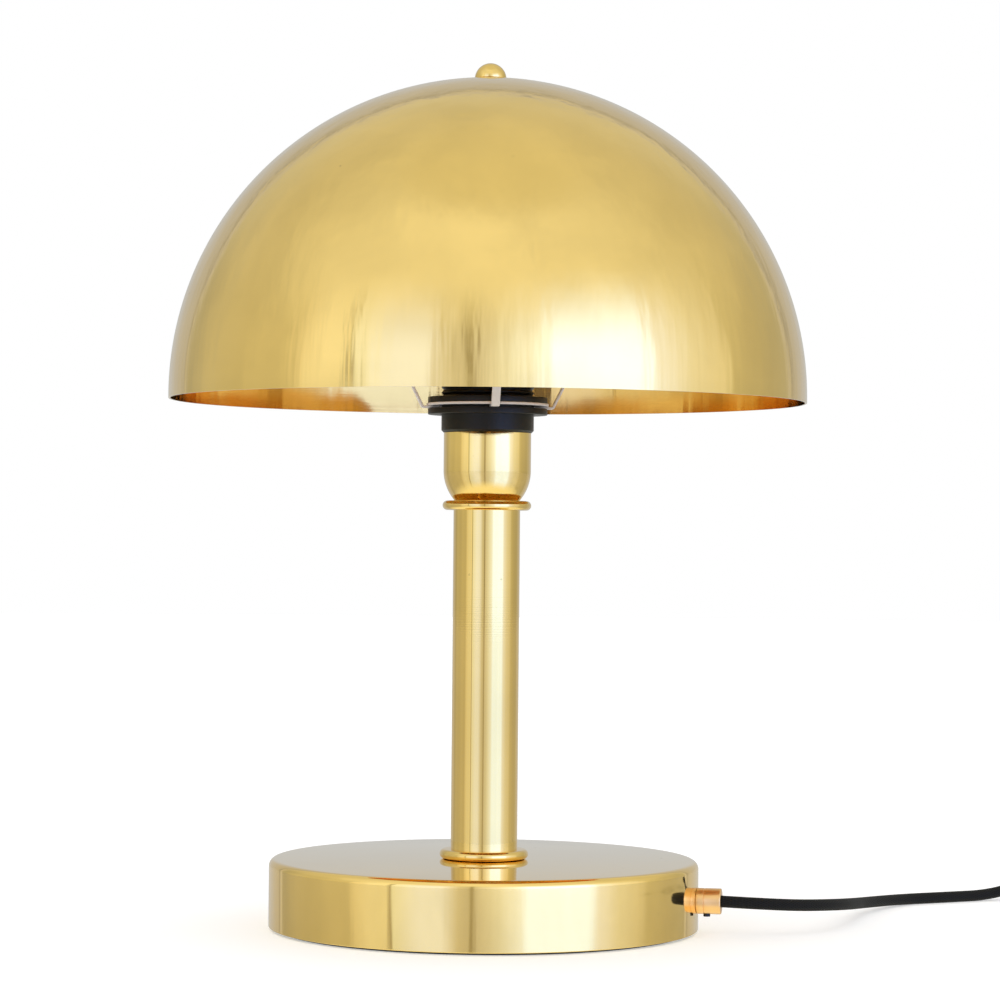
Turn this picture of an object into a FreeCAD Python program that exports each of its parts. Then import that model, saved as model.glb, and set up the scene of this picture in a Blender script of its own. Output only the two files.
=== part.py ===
"""Dome shade desk lamp, in millimetres.

A weighted round base carries a straight stem. A brass cup on the stem holds an E27 lampholder, whose two
black rings clamp a four-armed wire carrier. The half-ball shade lies on top of the carrier and is held by
a finial. The cord leaves the side of the base, passes an inline switch and ends in a two-pin plug.

Origin: on the stem's axis, on the surface that the lamp stands on. Z is up, and Y points away from the
side that the lamp is seen from.
"""
import FreeCAD, Part
import math
import os
import re

import Sketcher

doc = FreeCAD.newDocument("DomeShadeLamp")
sheet = doc.addObject("Spreadsheet::Sheet", "Sizes")
Vector = FreeCAD.Vector
UP = Vector(0, 0, 1)

SIZES = [
    # Shade and what it is fixed with
    ("shade_radius", 150.0, "outside of the half ball"),
    ("shade_wall", 1.0, "spun brass sheet"),
    ("shade_band", 2.0, "straight band under the half ball"),
    ("shade_hole_radius", 3.4, "hole in the crown for the stud"),
    ("finial_radius", 7.5, "half-ball nut on top"),
    ("finial_bore_depth", 5.2, "blind thread in the finial"),
    ("shade_washer_radius", 6.2, "washer under the finial"),
    ("shade_washer_thickness", 0.5, "washer under the finial"),
    ("seat_radius", 8.0, "fibre washer that the shade lies on"),
    ("seat_thickness", 1.7, "fibre washer that the shade lies on"),
    ("seat_clearance", 0.08, "between the fibre washer and the shade"),
    ("stud_radius", 3.0, "M6 stud"),
    ("stud_reach", 4.9, "stud above the crown"),
    ("stud_tail", 1.9, "stud below its nut"),
    ("stud_clearance", 0.06, "round the stud in what turns on it"),
    ("stud_hole_clearance", 0.1, "round the stud in what it passes"),
    # Carrier
    ("strip_thickness", 1.2, "flat strip of the carrier"),
    ("strip_width", 4.0, "flat strip of the carrier"),
    ("carrier_foot_radius", 22.5, "inner end of an arm's foot"),
    ("carrier_knee_radius", 30.9, "where an arm turns up"),
    ("carrier_radius", 46.0, "upright run of an arm, on its centre line"),
    ("carrier_rise", 30.6, "height of the slanting run"),
    ("carrier_height", 150.8, "foot to the top of the arms"),
    ("carrier_bend", 38.0, "radius of the bend at the top of an arm"),
    ("carrier_end_radius", 4.6, "inner end of an arm at the top"),
    ("arm_turn", 6.6, "first arm, in degrees from the X axis"),
    ("hub_radius", 9.0, "round plate on the arms"),
    ("hub_thickness", 1.5, "round plate on the arms"),
    ("carrier_nut_width", 10.0, "M6 nut, across its flats"),
    ("carrier_nut_height", 5.0, "M6 nut"),
    ("carrier_ring_radius", 28.8, "outside of the carrier's ring"),
    # Lampholder
    ("skirt_radius", 21.8, "outside of the lampholder and its thread"),
    ("skirt_height", 8.4, "cup to the lower shade ring"),
    ("skirt_chamfer", 1.0, "lower edge of the skirt"),
    ("skirt_spigot", 6.0, "skirt inside the cup"),
    ("skirt_spigot_radius", 19.4, "outside of the spigot"),
    ("skirt_neck_radius", 16.4, "bore of the spigot"),
    ("skirt_bore_radius", 18.4, "bore above the spigot"),
    ("skirt_floor", 2.0, "cup to the wider bore"),
    ("sleeve_reach", 16.0, "thread above the upper shade ring"),
    ("thread_clearance", 0.2, "round the skirt's thread"),
    ("shade_ring_radius", 28.2, "outside of both shade rings"),
    ("shade_ring_height", 2.9, "both shade rings"),
    ("shade_ring_round", 0.8, "outer edges of the shade rings"),
    ("insert_radius", 19.2, "ceramic insert"),
    ("insert_plate", 5.5, "thickness of the insert's plate"),
    ("insert_wall", 1.8, "rim under the insert's plate"),
    ("insert_clearance", 0.1, "between the rim and the cup"),
    ("insert_boss_radius", 12.0, "boss under the screw shell"),
    ("insert_boss_height", 3.0, "boss under the screw shell"),
    ("shell_radius", 13.5, "bore of the E27 screw shell"),
    ("shell_wall", 0.5, "E27 screw shell"),
    ("shell_height", 27.0, "E27 screw shell"),
    ("shell_hole_radius", 7.0, "hole in the floor of the screw shell"),
    ("contact_rise", 2.3, "height of the sprung middle contact"),
    ("contact_width", 5.0, "middle contact"),
    ("contact_reach", 4.5, "half the length of the middle contact"),
    ("contact_thickness", 0.5, "middle contact"),
    ("terminal_spread", 9.0, "terminal screws, from the axis"),
    ("terminal_length", 5.0, "terminal screws under the insert"),
    ("terminal_shank", 1.5, "terminal screws, radius"),
    ("terminal_head", 2.6, "terminal screws, radius of the head"),
    ("terminal_head_height", 1.8, "terminal screws"),
    # Light bulb
    ("bulb_radius", 30.0, "glass ball"),
    ("bulb_length", 105.0, "contact to the top of the glass"),
    ("bulb_wall", 0.8, "glass"),
    ("bulb_shoulder", 20.0, "where the ball goes over into the neck, degrees under its middle"),
    ("bulb_neck_radius", 14.6, "glass above the cap"),
    ("bulb_spigot", 7.0, "glass inside the cap"),
    ("bulb_cap_radius", 13.2, "E27 cap"),
    ("bulb_cap_wall", 0.4, "E27 cap"),
    ("bulb_cap_foot", 4.2, "contact to the lower edge of the cap"),
    ("bulb_cap_top", 27.0, "contact to the upper edge of the cap"),
    ("bulb_contact_radius", 4.8, "solder contact"),
    ("bulb_contact_height", 1.2, "solder contact"),
    ("bulb_insulator_foot", 6.0, "black glass at the contact, radius"),
    ("bulb_fit", 0.1, "between the pieces of the bulb"),
    # Cup, stem and rod
    ("cup_radius", 20.6, "brass cup under the lampholder"),
    ("cup_height", 32.1, "brass cup"),
    ("cup_wall", 1.0, "brass cup"),
    ("cup_curve_radius", 21.3, "curve of the cup's lower part"),
    ("cup_curve_height", 14.1, "height of the curved part"),
    ("collar_radius", 20.9, "both collars of the stem"),
    ("collar_height", 4.5, "both collars of the stem"),
    ("collar_round", 2.2, "edges of the collars"),
    ("collar_spigot", 4.0, "collar inside the stem"),
    ("stem_radius", 15.7, "outside of the stem"),
    ("stem_wall", 1.5, "stem"),
    ("stem_length", 159.4, "between the collars"),
    ("spigot_clearance", 0.1, "between a collar and the stem's bore"),
    ("rod_radius", 5.0, "M10 x 1 hollow rod"),
    ("rod_bore_radius", 4.0, "cable way in the rod"),
    ("rod_tail", 0.9, "rod past its nuts"),
    ("rod_clearance", 0.25, "round the rod in what it passes"),
    ("nut_width", 14.0, "thin M10 nuts, across their flats"),
    ("nut_height", 5.0, "thin M10 nuts"),
    ("nut_fit", 0.05, "between a nut and its thread"),
    ("washer_radius", 11.0, "washers under the nuts"),
    ("washer_thickness", 1.6, "washers under the nuts"),
    # Base
    ("base_radius", 101.0, "outside of the base cover"),
    ("base_height", 33.0, "top of the base"),
    ("cover_wall", 1.2, "base cover"),
    ("cover_gap", 1.2, "lower edge of the cover, above the ground"),
    ("cover_round", 3.5, "upper edge of the cover"),
    ("cover_lip_round", 0.4, "lower edge of the cover"),
    ("pad_inset", 4.0, "felt, from the base's side"),
    ("pad_thickness", 2.0, "felt under the base"),
    ("plate_clearance", 0.6, "between the bottom plate and the cover"),
    ("plate_thickness", 1.5, "bottom plate"),
    ("weight_clearance", 13.0, "between the iron weight and the base's side"),
    ("weight_height", 12.0, "cast iron weight"),
    ("weight_web", 4.0, "iron over the nut's recess"),
    ("weight_recess", 16.0, "radius of the nut's recess"),
    ("lug_radius", 5.0, "lugs that the bottom plate is screwed to"),
    ("lug_circle", 70.0, "lugs, from the axis"),
    ("lug_hole_radius", 2.1, "thread in a lug"),
    ("base_screw_radius", 2.0, "screws of the bottom plate"),
    ("base_screw_head", 3.8, "countersunk head, radius"),
    ("base_screw_length", 14.0, "screws of the bottom plate"),
    ("base_screw_fit", 0.1, "round the screws and over their heads"),
    # Cord grip in the side of the base
    ("grip_turn", -10.0, "direction of the grip, degrees from the X axis"),
    ("grip_level", 15.8, "height of the grip's axis"),
    ("grip_radius", 6.0, "cord grip"),
    ("grip_length", 11.4, "cord grip outside the cover"),
    ("grip_groove_place", 3.1, "groove, from the cover"),
    ("grip_groove_width", 0.8, "groove"),
    ("grip_groove_depth", 0.6, "groove"),
    ("grip_round", 0.8, "outer edge of the grip"),
    ("grip_thread_radius", 5.0, "threaded end of the grip"),
    ("grip_thread_length", 9.5, "threaded end of the grip"),
    ("grip_clearance", 0.1, "between the threaded end and the cover"),
    ("grip_gap", 0.06, "between the grip's shoulder and the cover"),
    ("grip_nut_width", 14.0, "nut inside the cover, across its flats"),
    ("grip_nut_height", 4.0, "nut inside the cover"),
    ("grip_screw_radius", 1.6, "grub screw under the grip"),
    ("grip_screw_place", 4.6, "grub screw, from the cover"),
    ("grip_screw_reach", 1.1, "grub screw below the grip"),
    ("grip_socket_width", 1.5, "hexagon socket, across its flats"),
    ("grip_socket_depth", 1.4, "hexagon socket"),
    # Cord and what is on it
    ("cord_diameter", 5.5, "textile cord"),
    ("cord_clearance", 0.12, "round the cord in the grip"),
    ("lead_level", 6.75, "cable on the bottom plate, its centre"),
    ("lead_dip_place", 46.0, "where the cable has come down, from the axis"),
    ("lead_drop_place", 80.0, "where the cable starts down, from the axis"),
    ("lead_bend", 13.0, "bend of the cable into the rod"),
    ("lead_top", 3.6, "sheath above the rod"),
    ("wire_radius", 1.1, "live and neutral wires"),
    ("wire_spread", 1.25, "wires, from the cable's centre"),
    ("wire_bend", 2.4, "bends of the wires"),
    ("coil_outer_radius", 40.0, "centre line of the outermost turn"),
    ("coil_pitch", 6.1, "between turns that lie side by side"),
    ("coil_step", 6.1, "between the two layers"),
    ("coil_turns", 6.0, "in and out again"),
    ("coil_lift", 1.3, "under the coil, for the tie"),
    ("coil_place_x", 381.0, "middle of the coil"),
    ("coil_place_y", 79.6, "middle of the coil"),
    ("tie_width", 10.0, "tie round the coil"),
    ("tie_thickness", 0.8, "tie round the coil"),
    ("tie_gap", 0.4, "between the tie and the cord"),
    ("tie_round", 2.6, "inner corners of the tie"),
    ("tie_turn", 180.0, "place of the tie round the coil, degrees"),
    # Inline switch
    ("switch_length", 60.0, "along the cord"),
    ("switch_width", 25.0, "across the cord"),
    ("switch_height", 18.0, "both shells together"),
    ("switch_wall", 1.8, "both shells"),
    ("switch_corner", 6.0, "upright edges"),
    ("switch_round", 2.0, "upper and lower edges"),
    ("switch_boss_radius", 4.2, "screw bosses"),
    ("switch_boss_place", 22.5, "screw bosses, from the middle"),
    ("switch_screw_radius", 1.4, "screws of the switch"),
    ("switch_screw_head", 2.7, "heads, radius"),
    ("switch_screw_sink", 2.6, "depth of the recesses for the heads"),
    ("switch_screw_length", 12.0, "screws of the switch"),
    ("switch_place_x", 335.0, "middle of the switch"),
    ("switch_place_y", 147.0, "middle of the switch"),
    ("rocker_radius", 11.0, "ends of the rocker, from its pin"),
    ("rocker_width", 11.0, "across the cord"),
    ("rocker_gap", 0.4, "round the rocker"),
    ("rocker_shoulder", 5.5, "ends of the rocker's top, above its pin"),
    ("rocker_waist", 4.6, "middle of the rocker's top, above its pin"),
    ("rocker_foot", 1.5, "rocker below its pin"),
    ("rocker_tilt", 8.0, "each way, degrees"),
    ("rocker_pin_level", 12.6, "height of the pin"),
    ("rocker_pin_radius", 1.0, "rocker pin"),
    ("rocker_pin_clearance", 0.05, "between the rocker and its pin"),
    ("rocker_pin_gap", 0.1, "pin ends to the walls"),
    ("switch_block_length", 6.0, "brass terminal blocks"),
    ("switch_block_width", 9.0, "brass terminal blocks"),
    ("switch_block_height", 4.6, "brass terminal blocks"),
    ("switch_block_place", 14.0, "terminal blocks, from the middle"),
    ("switch_leaf_thickness", 0.5, "contact leaf"),
    ("switch_leaf_width", 4.0, "contact leaf"),
    ("switch_leaf_overlap", 5.0, "contact leaf past the middle"),
    # Plug
    ("plug_place_x", 424.0, "rear end of the plug's cord sleeve"),
    ("plug_place_y", 8.0, "rear end of the plug's cord sleeve"),
    ("plug_length", 36.0, "body"),
    ("plug_width", 35.3, "body at the pins"),
    ("plug_rear_width", 16.0, "body at the cord"),
    ("plug_shoulder", 18.0, "rear end to the full width"),
    ("plug_height", 13.7, "body"),
    ("plug_corner", 3.0, "upright edges"),
    ("plug_round", 2.0, "upper and lower edges"),
    ("plug_sleeve_length", 26.0, "tapered cord sleeve"),
    ("plug_sleeve_radius", 5.2, "cord sleeve at the body"),
    ("plug_sleeve_end", 3.5, "cord sleeve at the cord"),
    ("pin_spread", 18.6, "between the pins"),
    ("pin_length", 19.0, "pins"),
    ("pin_radius", 2.0, "pins, bare end"),
    ("pin_core_radius", 1.2, "pins inside their sleeves"),
    ("pin_sleeve_radius", 1.7, "insulating sleeves of the pins"),
    ("pin_sleeve_length", 10.0, "insulating sleeves of the pins"),
    ("pin_round", 1.2, "tips of the pins"),
]

for row, (alias, number, note) in enumerate(SIZES, start=1):
    sheet.set(f"A{row}", alias)
    sheet.set(f"B{row}", str(number))
    sheet.set(f"C{row}", note)
    sheet.setAlias(f"B{row}", alias)
doc.recompute()

ALIASES = re.compile(r"\b(" + "|".join(sorted((size[0] for size in SIZES), key=len, reverse=True)) + r")\b")


def bound(text):
    """The same expression with its names read from the sheet."""
    return ALIASES.sub(r"Sizes.\1", str(text))


def value(text):
    """What an expression of the sheet's names comes to."""
    return float(sheet.evalExpression(bound(text)))


# Heights in the stack, each on the one below it.
PLATE_TOP = "(pad_thickness + plate_thickness)"
COVER_INSIDE = "(base_height - cover_wall)"
WEIGHT_RADIUS = "(base_radius - weight_clearance)"
WEIGHT_FOOT = f"({COVER_INSIDE} - weight_height)"
WEB_FOOT = f"({COVER_INSIDE} - weight_web)"
ROD_FOOT = f"({WEB_FOOT} - washer_thickness - nut_height - rod_tail)"
STEM_FOOT = "(base_height + collar_height)"
STEM_TOP = f"({STEM_FOOT} + stem_length)"
CUP_FOOT = f"({STEM_TOP} + collar_height)"
CUP_FLOOR = f"({CUP_FOOT} + cup_wall)"
CUP_TOP = f"({CUP_FOOT} + cup_height)"
ROD_TOP = f"({CUP_FLOOR} + washer_thickness + nut_height + rod_tail)"
LEAD_END = f"({ROD_TOP} + lead_top)"
INSERT_TOP = f"({CUP_TOP} - skirt_spigot)"
INSERT_UNDER = f"({INSERT_TOP} - insert_plate)"
SHELL_FOOT = f"({INSERT_TOP} + insert_boss_height)"
LOWER_RING = f"({CUP_TOP} + skirt_height)"
ARM_FOOT = f"({LOWER_RING} + shade_ring_height)"
CARRIER_RING = f"({ARM_FOOT} + strip_thickness)"
UPPER_RING = f"({CARRIER_RING} + strip_thickness)"
UPPER_RING_TOP = f"({UPPER_RING} + shade_ring_height)"
SKIRT_TOP = f"({UPPER_RING_TOP} + sleeve_reach)"
HUB_FOOT = f"({ARM_FOOT} + carrier_height)"
CARRIER_NUT = f"({HUB_FOOT} - strip_thickness - carrier_nut_height)"
SEAT_FOOT = f"({HUB_FOOT} + hub_thickness)"
SEAT_TOP = f"({SEAT_FOOT} + seat_thickness)"
DOME_BORE = "(shade_radius - shade_wall)"
DOME_CENTRE = f"({SEAT_TOP} + seat_clearance - sqrt({DOME_BORE}^2 - seat_radius^2))"
DOME_TOP = f"({DOME_CENTRE} + shade_radius)"
FINIAL_FOOT = f"({DOME_TOP} + shade_washer_thickness)"
BULB_FOOT = f"({SHELL_FOOT} + contact_rise + bulb_fit)"

nodes = []


def keep(piece):
    """Counts a finished object as one of the lamp's sub-parts."""
    nodes.append(piece)
    return piece


def new_body(label):
    body = doc.addObject("PartDesign::Body", label)
    body.Label = label
    return body


def sketch_on(body, plane, name, offset=None):
    """A sketch on one of the body's own planes, moved along the plane's normal by offset."""
    sketch = body.newObject("Sketcher::SketchObject", name)
    support = next(item for item in body.Origin.OriginFeatures if item.Role == plane)
    sketch.AttachmentSupport = [(support, "")]
    sketch.MapMode = "FlatFace"
    if offset is not None:
        sketch.setExpression("AttachmentOffset.Base.z", bound(offset))
    return sketch


def tie_corner(sketch, edge, end, across, up):
    """Binds one end of an edge to the sheet, on the sketch's own axes."""
    for kind, text, axis in (("DistanceX", across, -2), ("DistanceY", up, -1)):
        place = value(text)
        if abs(place) < 1e-9:
            sketch.addConstraint(Sketcher.Constraint("PointOnObject", edge, end, axis))
            continue
        index = sketch.addConstraint(Sketcher.Constraint(kind, -1, 1, edge, end, place))
        sketch.setExpression(f"Constraints[{index}]", bound(text))


def draw(sketch, outline, closed=True):
    """Draws straight and round edges from corner to corner.

    A corner is (across, up), or (across, up, way, radius) where the edge that arrives there is an arc of
    under half a circle that turns "left" or "right".
    """
    corners = [Vector(value(corner[0]), value(corner[1]), 0) for corner in outline]
    first = 0 if closed else 1
    ends = []
    for index in range(first, len(outline)):
        start, end = corners[index - 1], corners[index]
        if len(outline[index]) == 2:
            edge = sketch.addGeometry(Part.LineSegment(start, end), False)
            ends.append((edge, 1, 2))
        else:
            way, radius = outline[index][2:]
            edge = sketch.addGeometry(flat_arc(start, end, way, value(radius)), False)
            ends.append((edge, 1, 2) if way == "left" else (edge, 2, 1))
            bend = sketch.addConstraint(Sketcher.Constraint("Radius", edge, value(radius)))
            sketch.setExpression(f"Constraints[{bend}]", bound(radius))
        tie_corner(sketch, edge, ends[-1][2], *outline[index][:2])
    for index in range(0 if closed else 1, len(ends)):
        before, after = ends[index - 1], ends[index]
        sketch.addConstraint(Sketcher.Constraint("Coincident", before[0], before[2], after[0], after[1]))
    if not closed:
        tie_corner(sketch, ends[0][0], ends[0][1], *outline[0][:2])


def flat_arc(start, end, way, radius):
    """An arc in the sketch from start to end, on the side that a left or right turn gives."""
    chord = end - start
    side = Vector(-chord.y, chord.x, 0).normalize()
    if way == "right":
        side = side * -1
    middle = start + chord * 0.5
    centre = middle + side * math.sqrt(max(radius**2 - (chord.Length / 2) ** 2, 0.0))
    ends = [math.atan2(point.y - centre.y, point.x - centre.x) for point in (start, end)]
    if way == "right":
        ends.reverse()
    return Part.ArcOfCircle(Part.Circle(centre, UP, radius), ends[0], ends[1])


def turned(label, outline, axis="V_Axis"):
    """A piece made on a lathe: its half section turned about the sketch's upright or level axis."""
    body = new_body(label)
    sketch = sketch_on(body, "XZ_Plane", label + "_section")
    draw(sketch, outline)
    turn = body.newObject("PartDesign::Revolution", label + "_turn")
    turn.Profile = sketch
    turn.ReferenceAxis = (sketch, [axis])
    turn.Angle = 360
    doc.recompute()
    return keep(body)


def ring(label, inner, outer, foot, top):
    """A plain turned ring, or a disc where inner is 0."""
    return turned(label, [(inner, foot), (outer, foot), (outer, top), (inner, top)])


def round_turned(body, corners, radius, name, axis="Z", kind="Fillet"):
    """Rounds or bevels the circular edges that pass through the given (radius, height) corners."""
    base = body.Tip
    places = [(value(across), value(up)) for across, up in corners]
    names = []
    for number, edge in enumerate(base.Shape.Edges, start=1):
        if not isinstance(edge.Curve, Part.Circle):
            continue
        along = edge.Curve.Center.z if axis == "Z" else edge.Curve.Center.x
        if any(abs(edge.Curve.Radius - r) < 1e-4 and abs(along - h) < 1e-4 for r, h in places):
            names.append(f"Edge{number}")
    finish_edges(body, names, radius, name, kind)


def round_upright(body, radius, name, least=0.0):
    """Rounds the straight edges that stand parallel to Z, further than least from the middle."""
    names = []
    for number, edge in enumerate(body.Tip.Shape.Edges, start=1):
        if isinstance(edge.Curve, Part.Line) and abs(edge.tangentAt(edge.FirstParameter).z) > 0.999:
            if math.hypot(edge.CenterOfMass.x, edge.CenterOfMass.y) > least:
                names.append(f"Edge{number}")
    finish_edges(body, names, radius, name, "Fillet")


def round_level(body, level, radius, name):
    """Rounds every edge that lies at one height."""
    height = value(level)
    names = []
    for number, edge in enumerate(body.Tip.Shape.Edges, start=1):
        box = edge.BoundBox
        if abs(box.ZMin - height) < 1e-4 and abs(box.ZMax - height) < 1e-4:
            names.append(f"Edge{number}")
    finish_edges(body, names, radius, name, "Fillet")


def finish_edges(body, names, radius, name, kind):
    base = body.Tip
    if not names:
        raise ValueError(f"{name}: no edge found to round")
    finish = body.newObject("PartDesign::" + kind, name)
    finish.Base = (base, names)
    finish.setExpression("Radius" if kind == "Fillet" else "Size", bound(radius))
    doc.recompute()


def cut_round(body, plane, offset, centres, radius, depth, name, backwards=False):
    """Drills round holes from a plane of the body and checks that they took material away."""
    volume = body.Shape.Volume
    sketch = sketch_on(body, plane, name + "_circles", offset)
    for across, up in centres:
        circle = Part.Circle(Vector(value(across), value(up), 0), UP, value(radius))
        edge = sketch.addGeometry(circle, False)
        tie_corner(sketch, edge, 3, across, up)
        size = sketch.addConstraint(Sketcher.Constraint("Radius", edge, value(radius)))
        sketch.setExpression(f"Constraints[{size}]", bound(radius))
    cut_to(body, sketch, depth, name, backwards, volume)


def cut_outline(body, plane, offset, outline, depth, name, backwards=False):
    """Cuts an outline from a plane of the body and checks that it took material away."""
    volume = body.Shape.Volume
    sketch = sketch_on(body, plane, name + "_outline", offset)
    draw(sketch, outline)
    cut_to(body, sketch, depth, name, backwards, volume)


def cut_to(body, sketch, depth, name, backwards, volume):
    pocket = body.newObject("PartDesign::Pocket", name)
    pocket.Profile = sketch
    pocket.Reversed = backwards
    pocket.setExpression("Length", bound(depth))
    doc.recompute()
    if body.Shape.Volume > volume - 1e-3:
        raise ValueError(f"{name}: cut nothing")


def add_pad(body, plane, offset, outline, length, name, middle=False):
    """Raises an outline from a plane of the body, to one side or to both."""
    sketch = sketch_on(body, plane, name + "_outline", offset)
    draw(sketch, outline)
    pad = body.newObject("PartDesign::Pad", name)
    pad.Profile = sketch
    pad.SideType = "Symmetric" if middle else "One side"
    pad.setExpression("Length", bound(length))
    doc.recompute()


def add_round_pad(body, offset, centres, radius, length, name):
    """Raises round bosses upwards from a level of the body."""
    sketch = sketch_on(body, "XY_Plane", name + "_circles", offset)
    for across, up in centres:
        circle = Part.Circle(Vector(value(across), value(up), 0), UP, value(radius))
        edge = sketch.addGeometry(circle, False)
        tie_corner(sketch, edge, 3, across, up)
        size = sketch.addConstraint(Sketcher.Constraint("Radius", edge, value(radius)))
        sketch.setExpression(f"Constraints[{size}]", bound(radius))
    pad = body.newObject("PartDesign::Pad", name)
    pad.Profile = sketch
    pad.setExpression("Length", bound(length))
    doc.recompute()


def box_outline(length, width):
    """A rectangle about the sketch's middle."""
    half, side = f"({length}) / 2", f"({width}) / 2"
    return [(f"-({half})", f"-({side})"), (half, f"-({side})"), (half, side), (f"-({half})", side)]


def put(piece, x=None, y=None, z=None, turn=None):
    """Places a finished piece by the sheet: moved by x, y and z, and turned about the Z axis."""
    piece.Placement = FreeCAD.Placement(Vector(), FreeCAD.Rotation(UP, 0))
    for name, text in (("Base.x", x), ("Base.y", y), ("Base.z", z), ("Rotation.Angle", turn)):
        if text is not None:
            piece.setExpression("Placement." + name, bound(text))
    doc.recompute()
    return piece


def solid(kind, name, **sizes):
    """One Part primitive with its sizes bound to the sheet."""
    piece = doc.addObject("Part::" + kind, name)
    for size, text in sizes.items():
        piece.setExpression(size, bound(text))
    return piece


def joined(kind, label, *pieces):
    """Part boolean of finished pieces: "Cut" for the first less the second, or "Fuse" for both."""
    result = doc.addObject("Part::" + kind, label)
    result.Base, result.Tool = pieces
    result.Label = label
    doc.recompute()
    return result


def group(label, pieces):
    """Equal loose pieces that share one sub-part."""
    result = doc.addObject("Part::Compound", label)
    result.Links = pieces
    result.Label = label
    doc.recompute()
    return keep(result)


def hexagon_nut(label, foot, height, width, bore):
    """A nut about the Z axis."""
    blank = solid("Prism", label + "_blank", Circumradius=f"{width} / 2 / cos(30)", Height=height)
    blank.Polygon = 6
    blank.setExpression("Placement.Base.z", bound(foot))
    hole = solid("Cylinder", label + "_hole", Radius=bore, Height=f"{height} + 2")
    hole.setExpression("Placement.Base.z", bound(f"{foot} - 1"))
    return keep(joined("Cut", label, blank, hole))


def headed_screw(name, head_radius, head_height, shank_radius, length, countersunk=False):
    """A screw that points up, with the outer face of its head at height 0."""
    if countersunk:
        head = solid("Cone", name + "_head", Radius1=head_radius, Radius2=shank_radius, Height=head_height)
    else:
        head = solid("Cylinder", name + "_head", Radius=head_radius, Height=head_height)
    shank = solid("Cylinder", name + "_shank", Radius=shank_radius, Height=length)
    return joined("Fuse", name, head, shank)


# ---------------------------------------------------------------- base

def make_base():
    """Felt, bottom plate, iron weight, spun cover and the screws and nut that hold them."""
    ring("felt_pad", 0, "base_radius - pad_inset", 0, "pad_thickness")

    lugs = [(f"lug_circle * cos({turn})", f"lug_circle * sin({turn})") for turn in (60, 180, 300)]
    plate = ring("base_plate", 0, "base_radius - cover_wall - plate_clearance", "pad_thickness", PLATE_TOP)
    cut_round(plate, "XY_Plane", PLATE_TOP, lugs, "base_screw_head + base_screw_fit", "plate_thickness",
              "plate_screw_holes")
    put(plate, turn="grip_turn")

    weight = turned("base_weight", [
        ("rod_radius + rod_clearance", WEB_FOOT), ("weight_recess", WEB_FOOT),
        ("weight_recess", WEIGHT_FOOT), (WEIGHT_RADIUS, WEIGHT_FOOT),
        (WEIGHT_RADIUS, COVER_INSIDE), ("rod_radius + rod_clearance", COVER_INSIDE),
    ])
    add_round_pad(weight, PLATE_TOP, lugs, "lug_radius", f"{WEIGHT_FOOT} - {PLATE_TOP} + 1", "weight_lugs")
    cut_round(weight, "XY_Plane", PLATE_TOP, lugs, "lug_hole_radius", "base_screw_length",
              "lug_holes", backwards=True)
    put(weight, turn="grip_turn")

    cover = turned("base_cover", [
        ("rod_radius + rod_clearance", COVER_INSIDE), ("base_radius - cover_wall", COVER_INSIDE),
        ("base_radius - cover_wall", "cover_gap"), ("base_radius", "cover_gap"),
        ("base_radius", "base_height"), ("rod_radius + rod_clearance", "base_height"),
    ])
    round_turned(cover, [("base_radius", "base_height")], "cover_round", "cover_edge")
    round_turned(cover, [("base_radius - cover_wall", COVER_INSIDE)],
                 "max(cover_round - cover_wall; 0.2)", "cover_inner_edge")
    round_turned(cover, [("base_radius", "cover_gap")], "cover_lip_round", "cover_lip")
    cut_round(cover, "YZ_Plane", "base_radius - 2 * cover_wall - plate_clearance", [(0, "grip_level")],
              "grip_thread_radius + grip_clearance", "4 * cover_wall + plate_clearance", "cord_hole",
              backwards=True)
    put(cover, turn="grip_turn")

    screws = []
    for number, (x, y) in enumerate(lugs, start=1):
        screw = headed_screw(f"base_screw_{number}", "base_screw_head", "plate_thickness - base_screw_fit",
                             "base_screw_radius", "base_screw_length", countersunk=True)
        screws.append(put(screw, x, y, "pad_thickness"))
    put(group("base_screws", screws), turn="grip_turn")

    ring("base_washer", "rod_radius + rod_clearance", "washer_radius",
         f"{WEB_FOOT} - washer_thickness", WEB_FOOT)
    hexagon_nut("base_nut", f"{WEB_FOOT} - washer_thickness - nut_height", "nut_height", "nut_width",
                "rod_radius + nut_fit")


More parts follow.
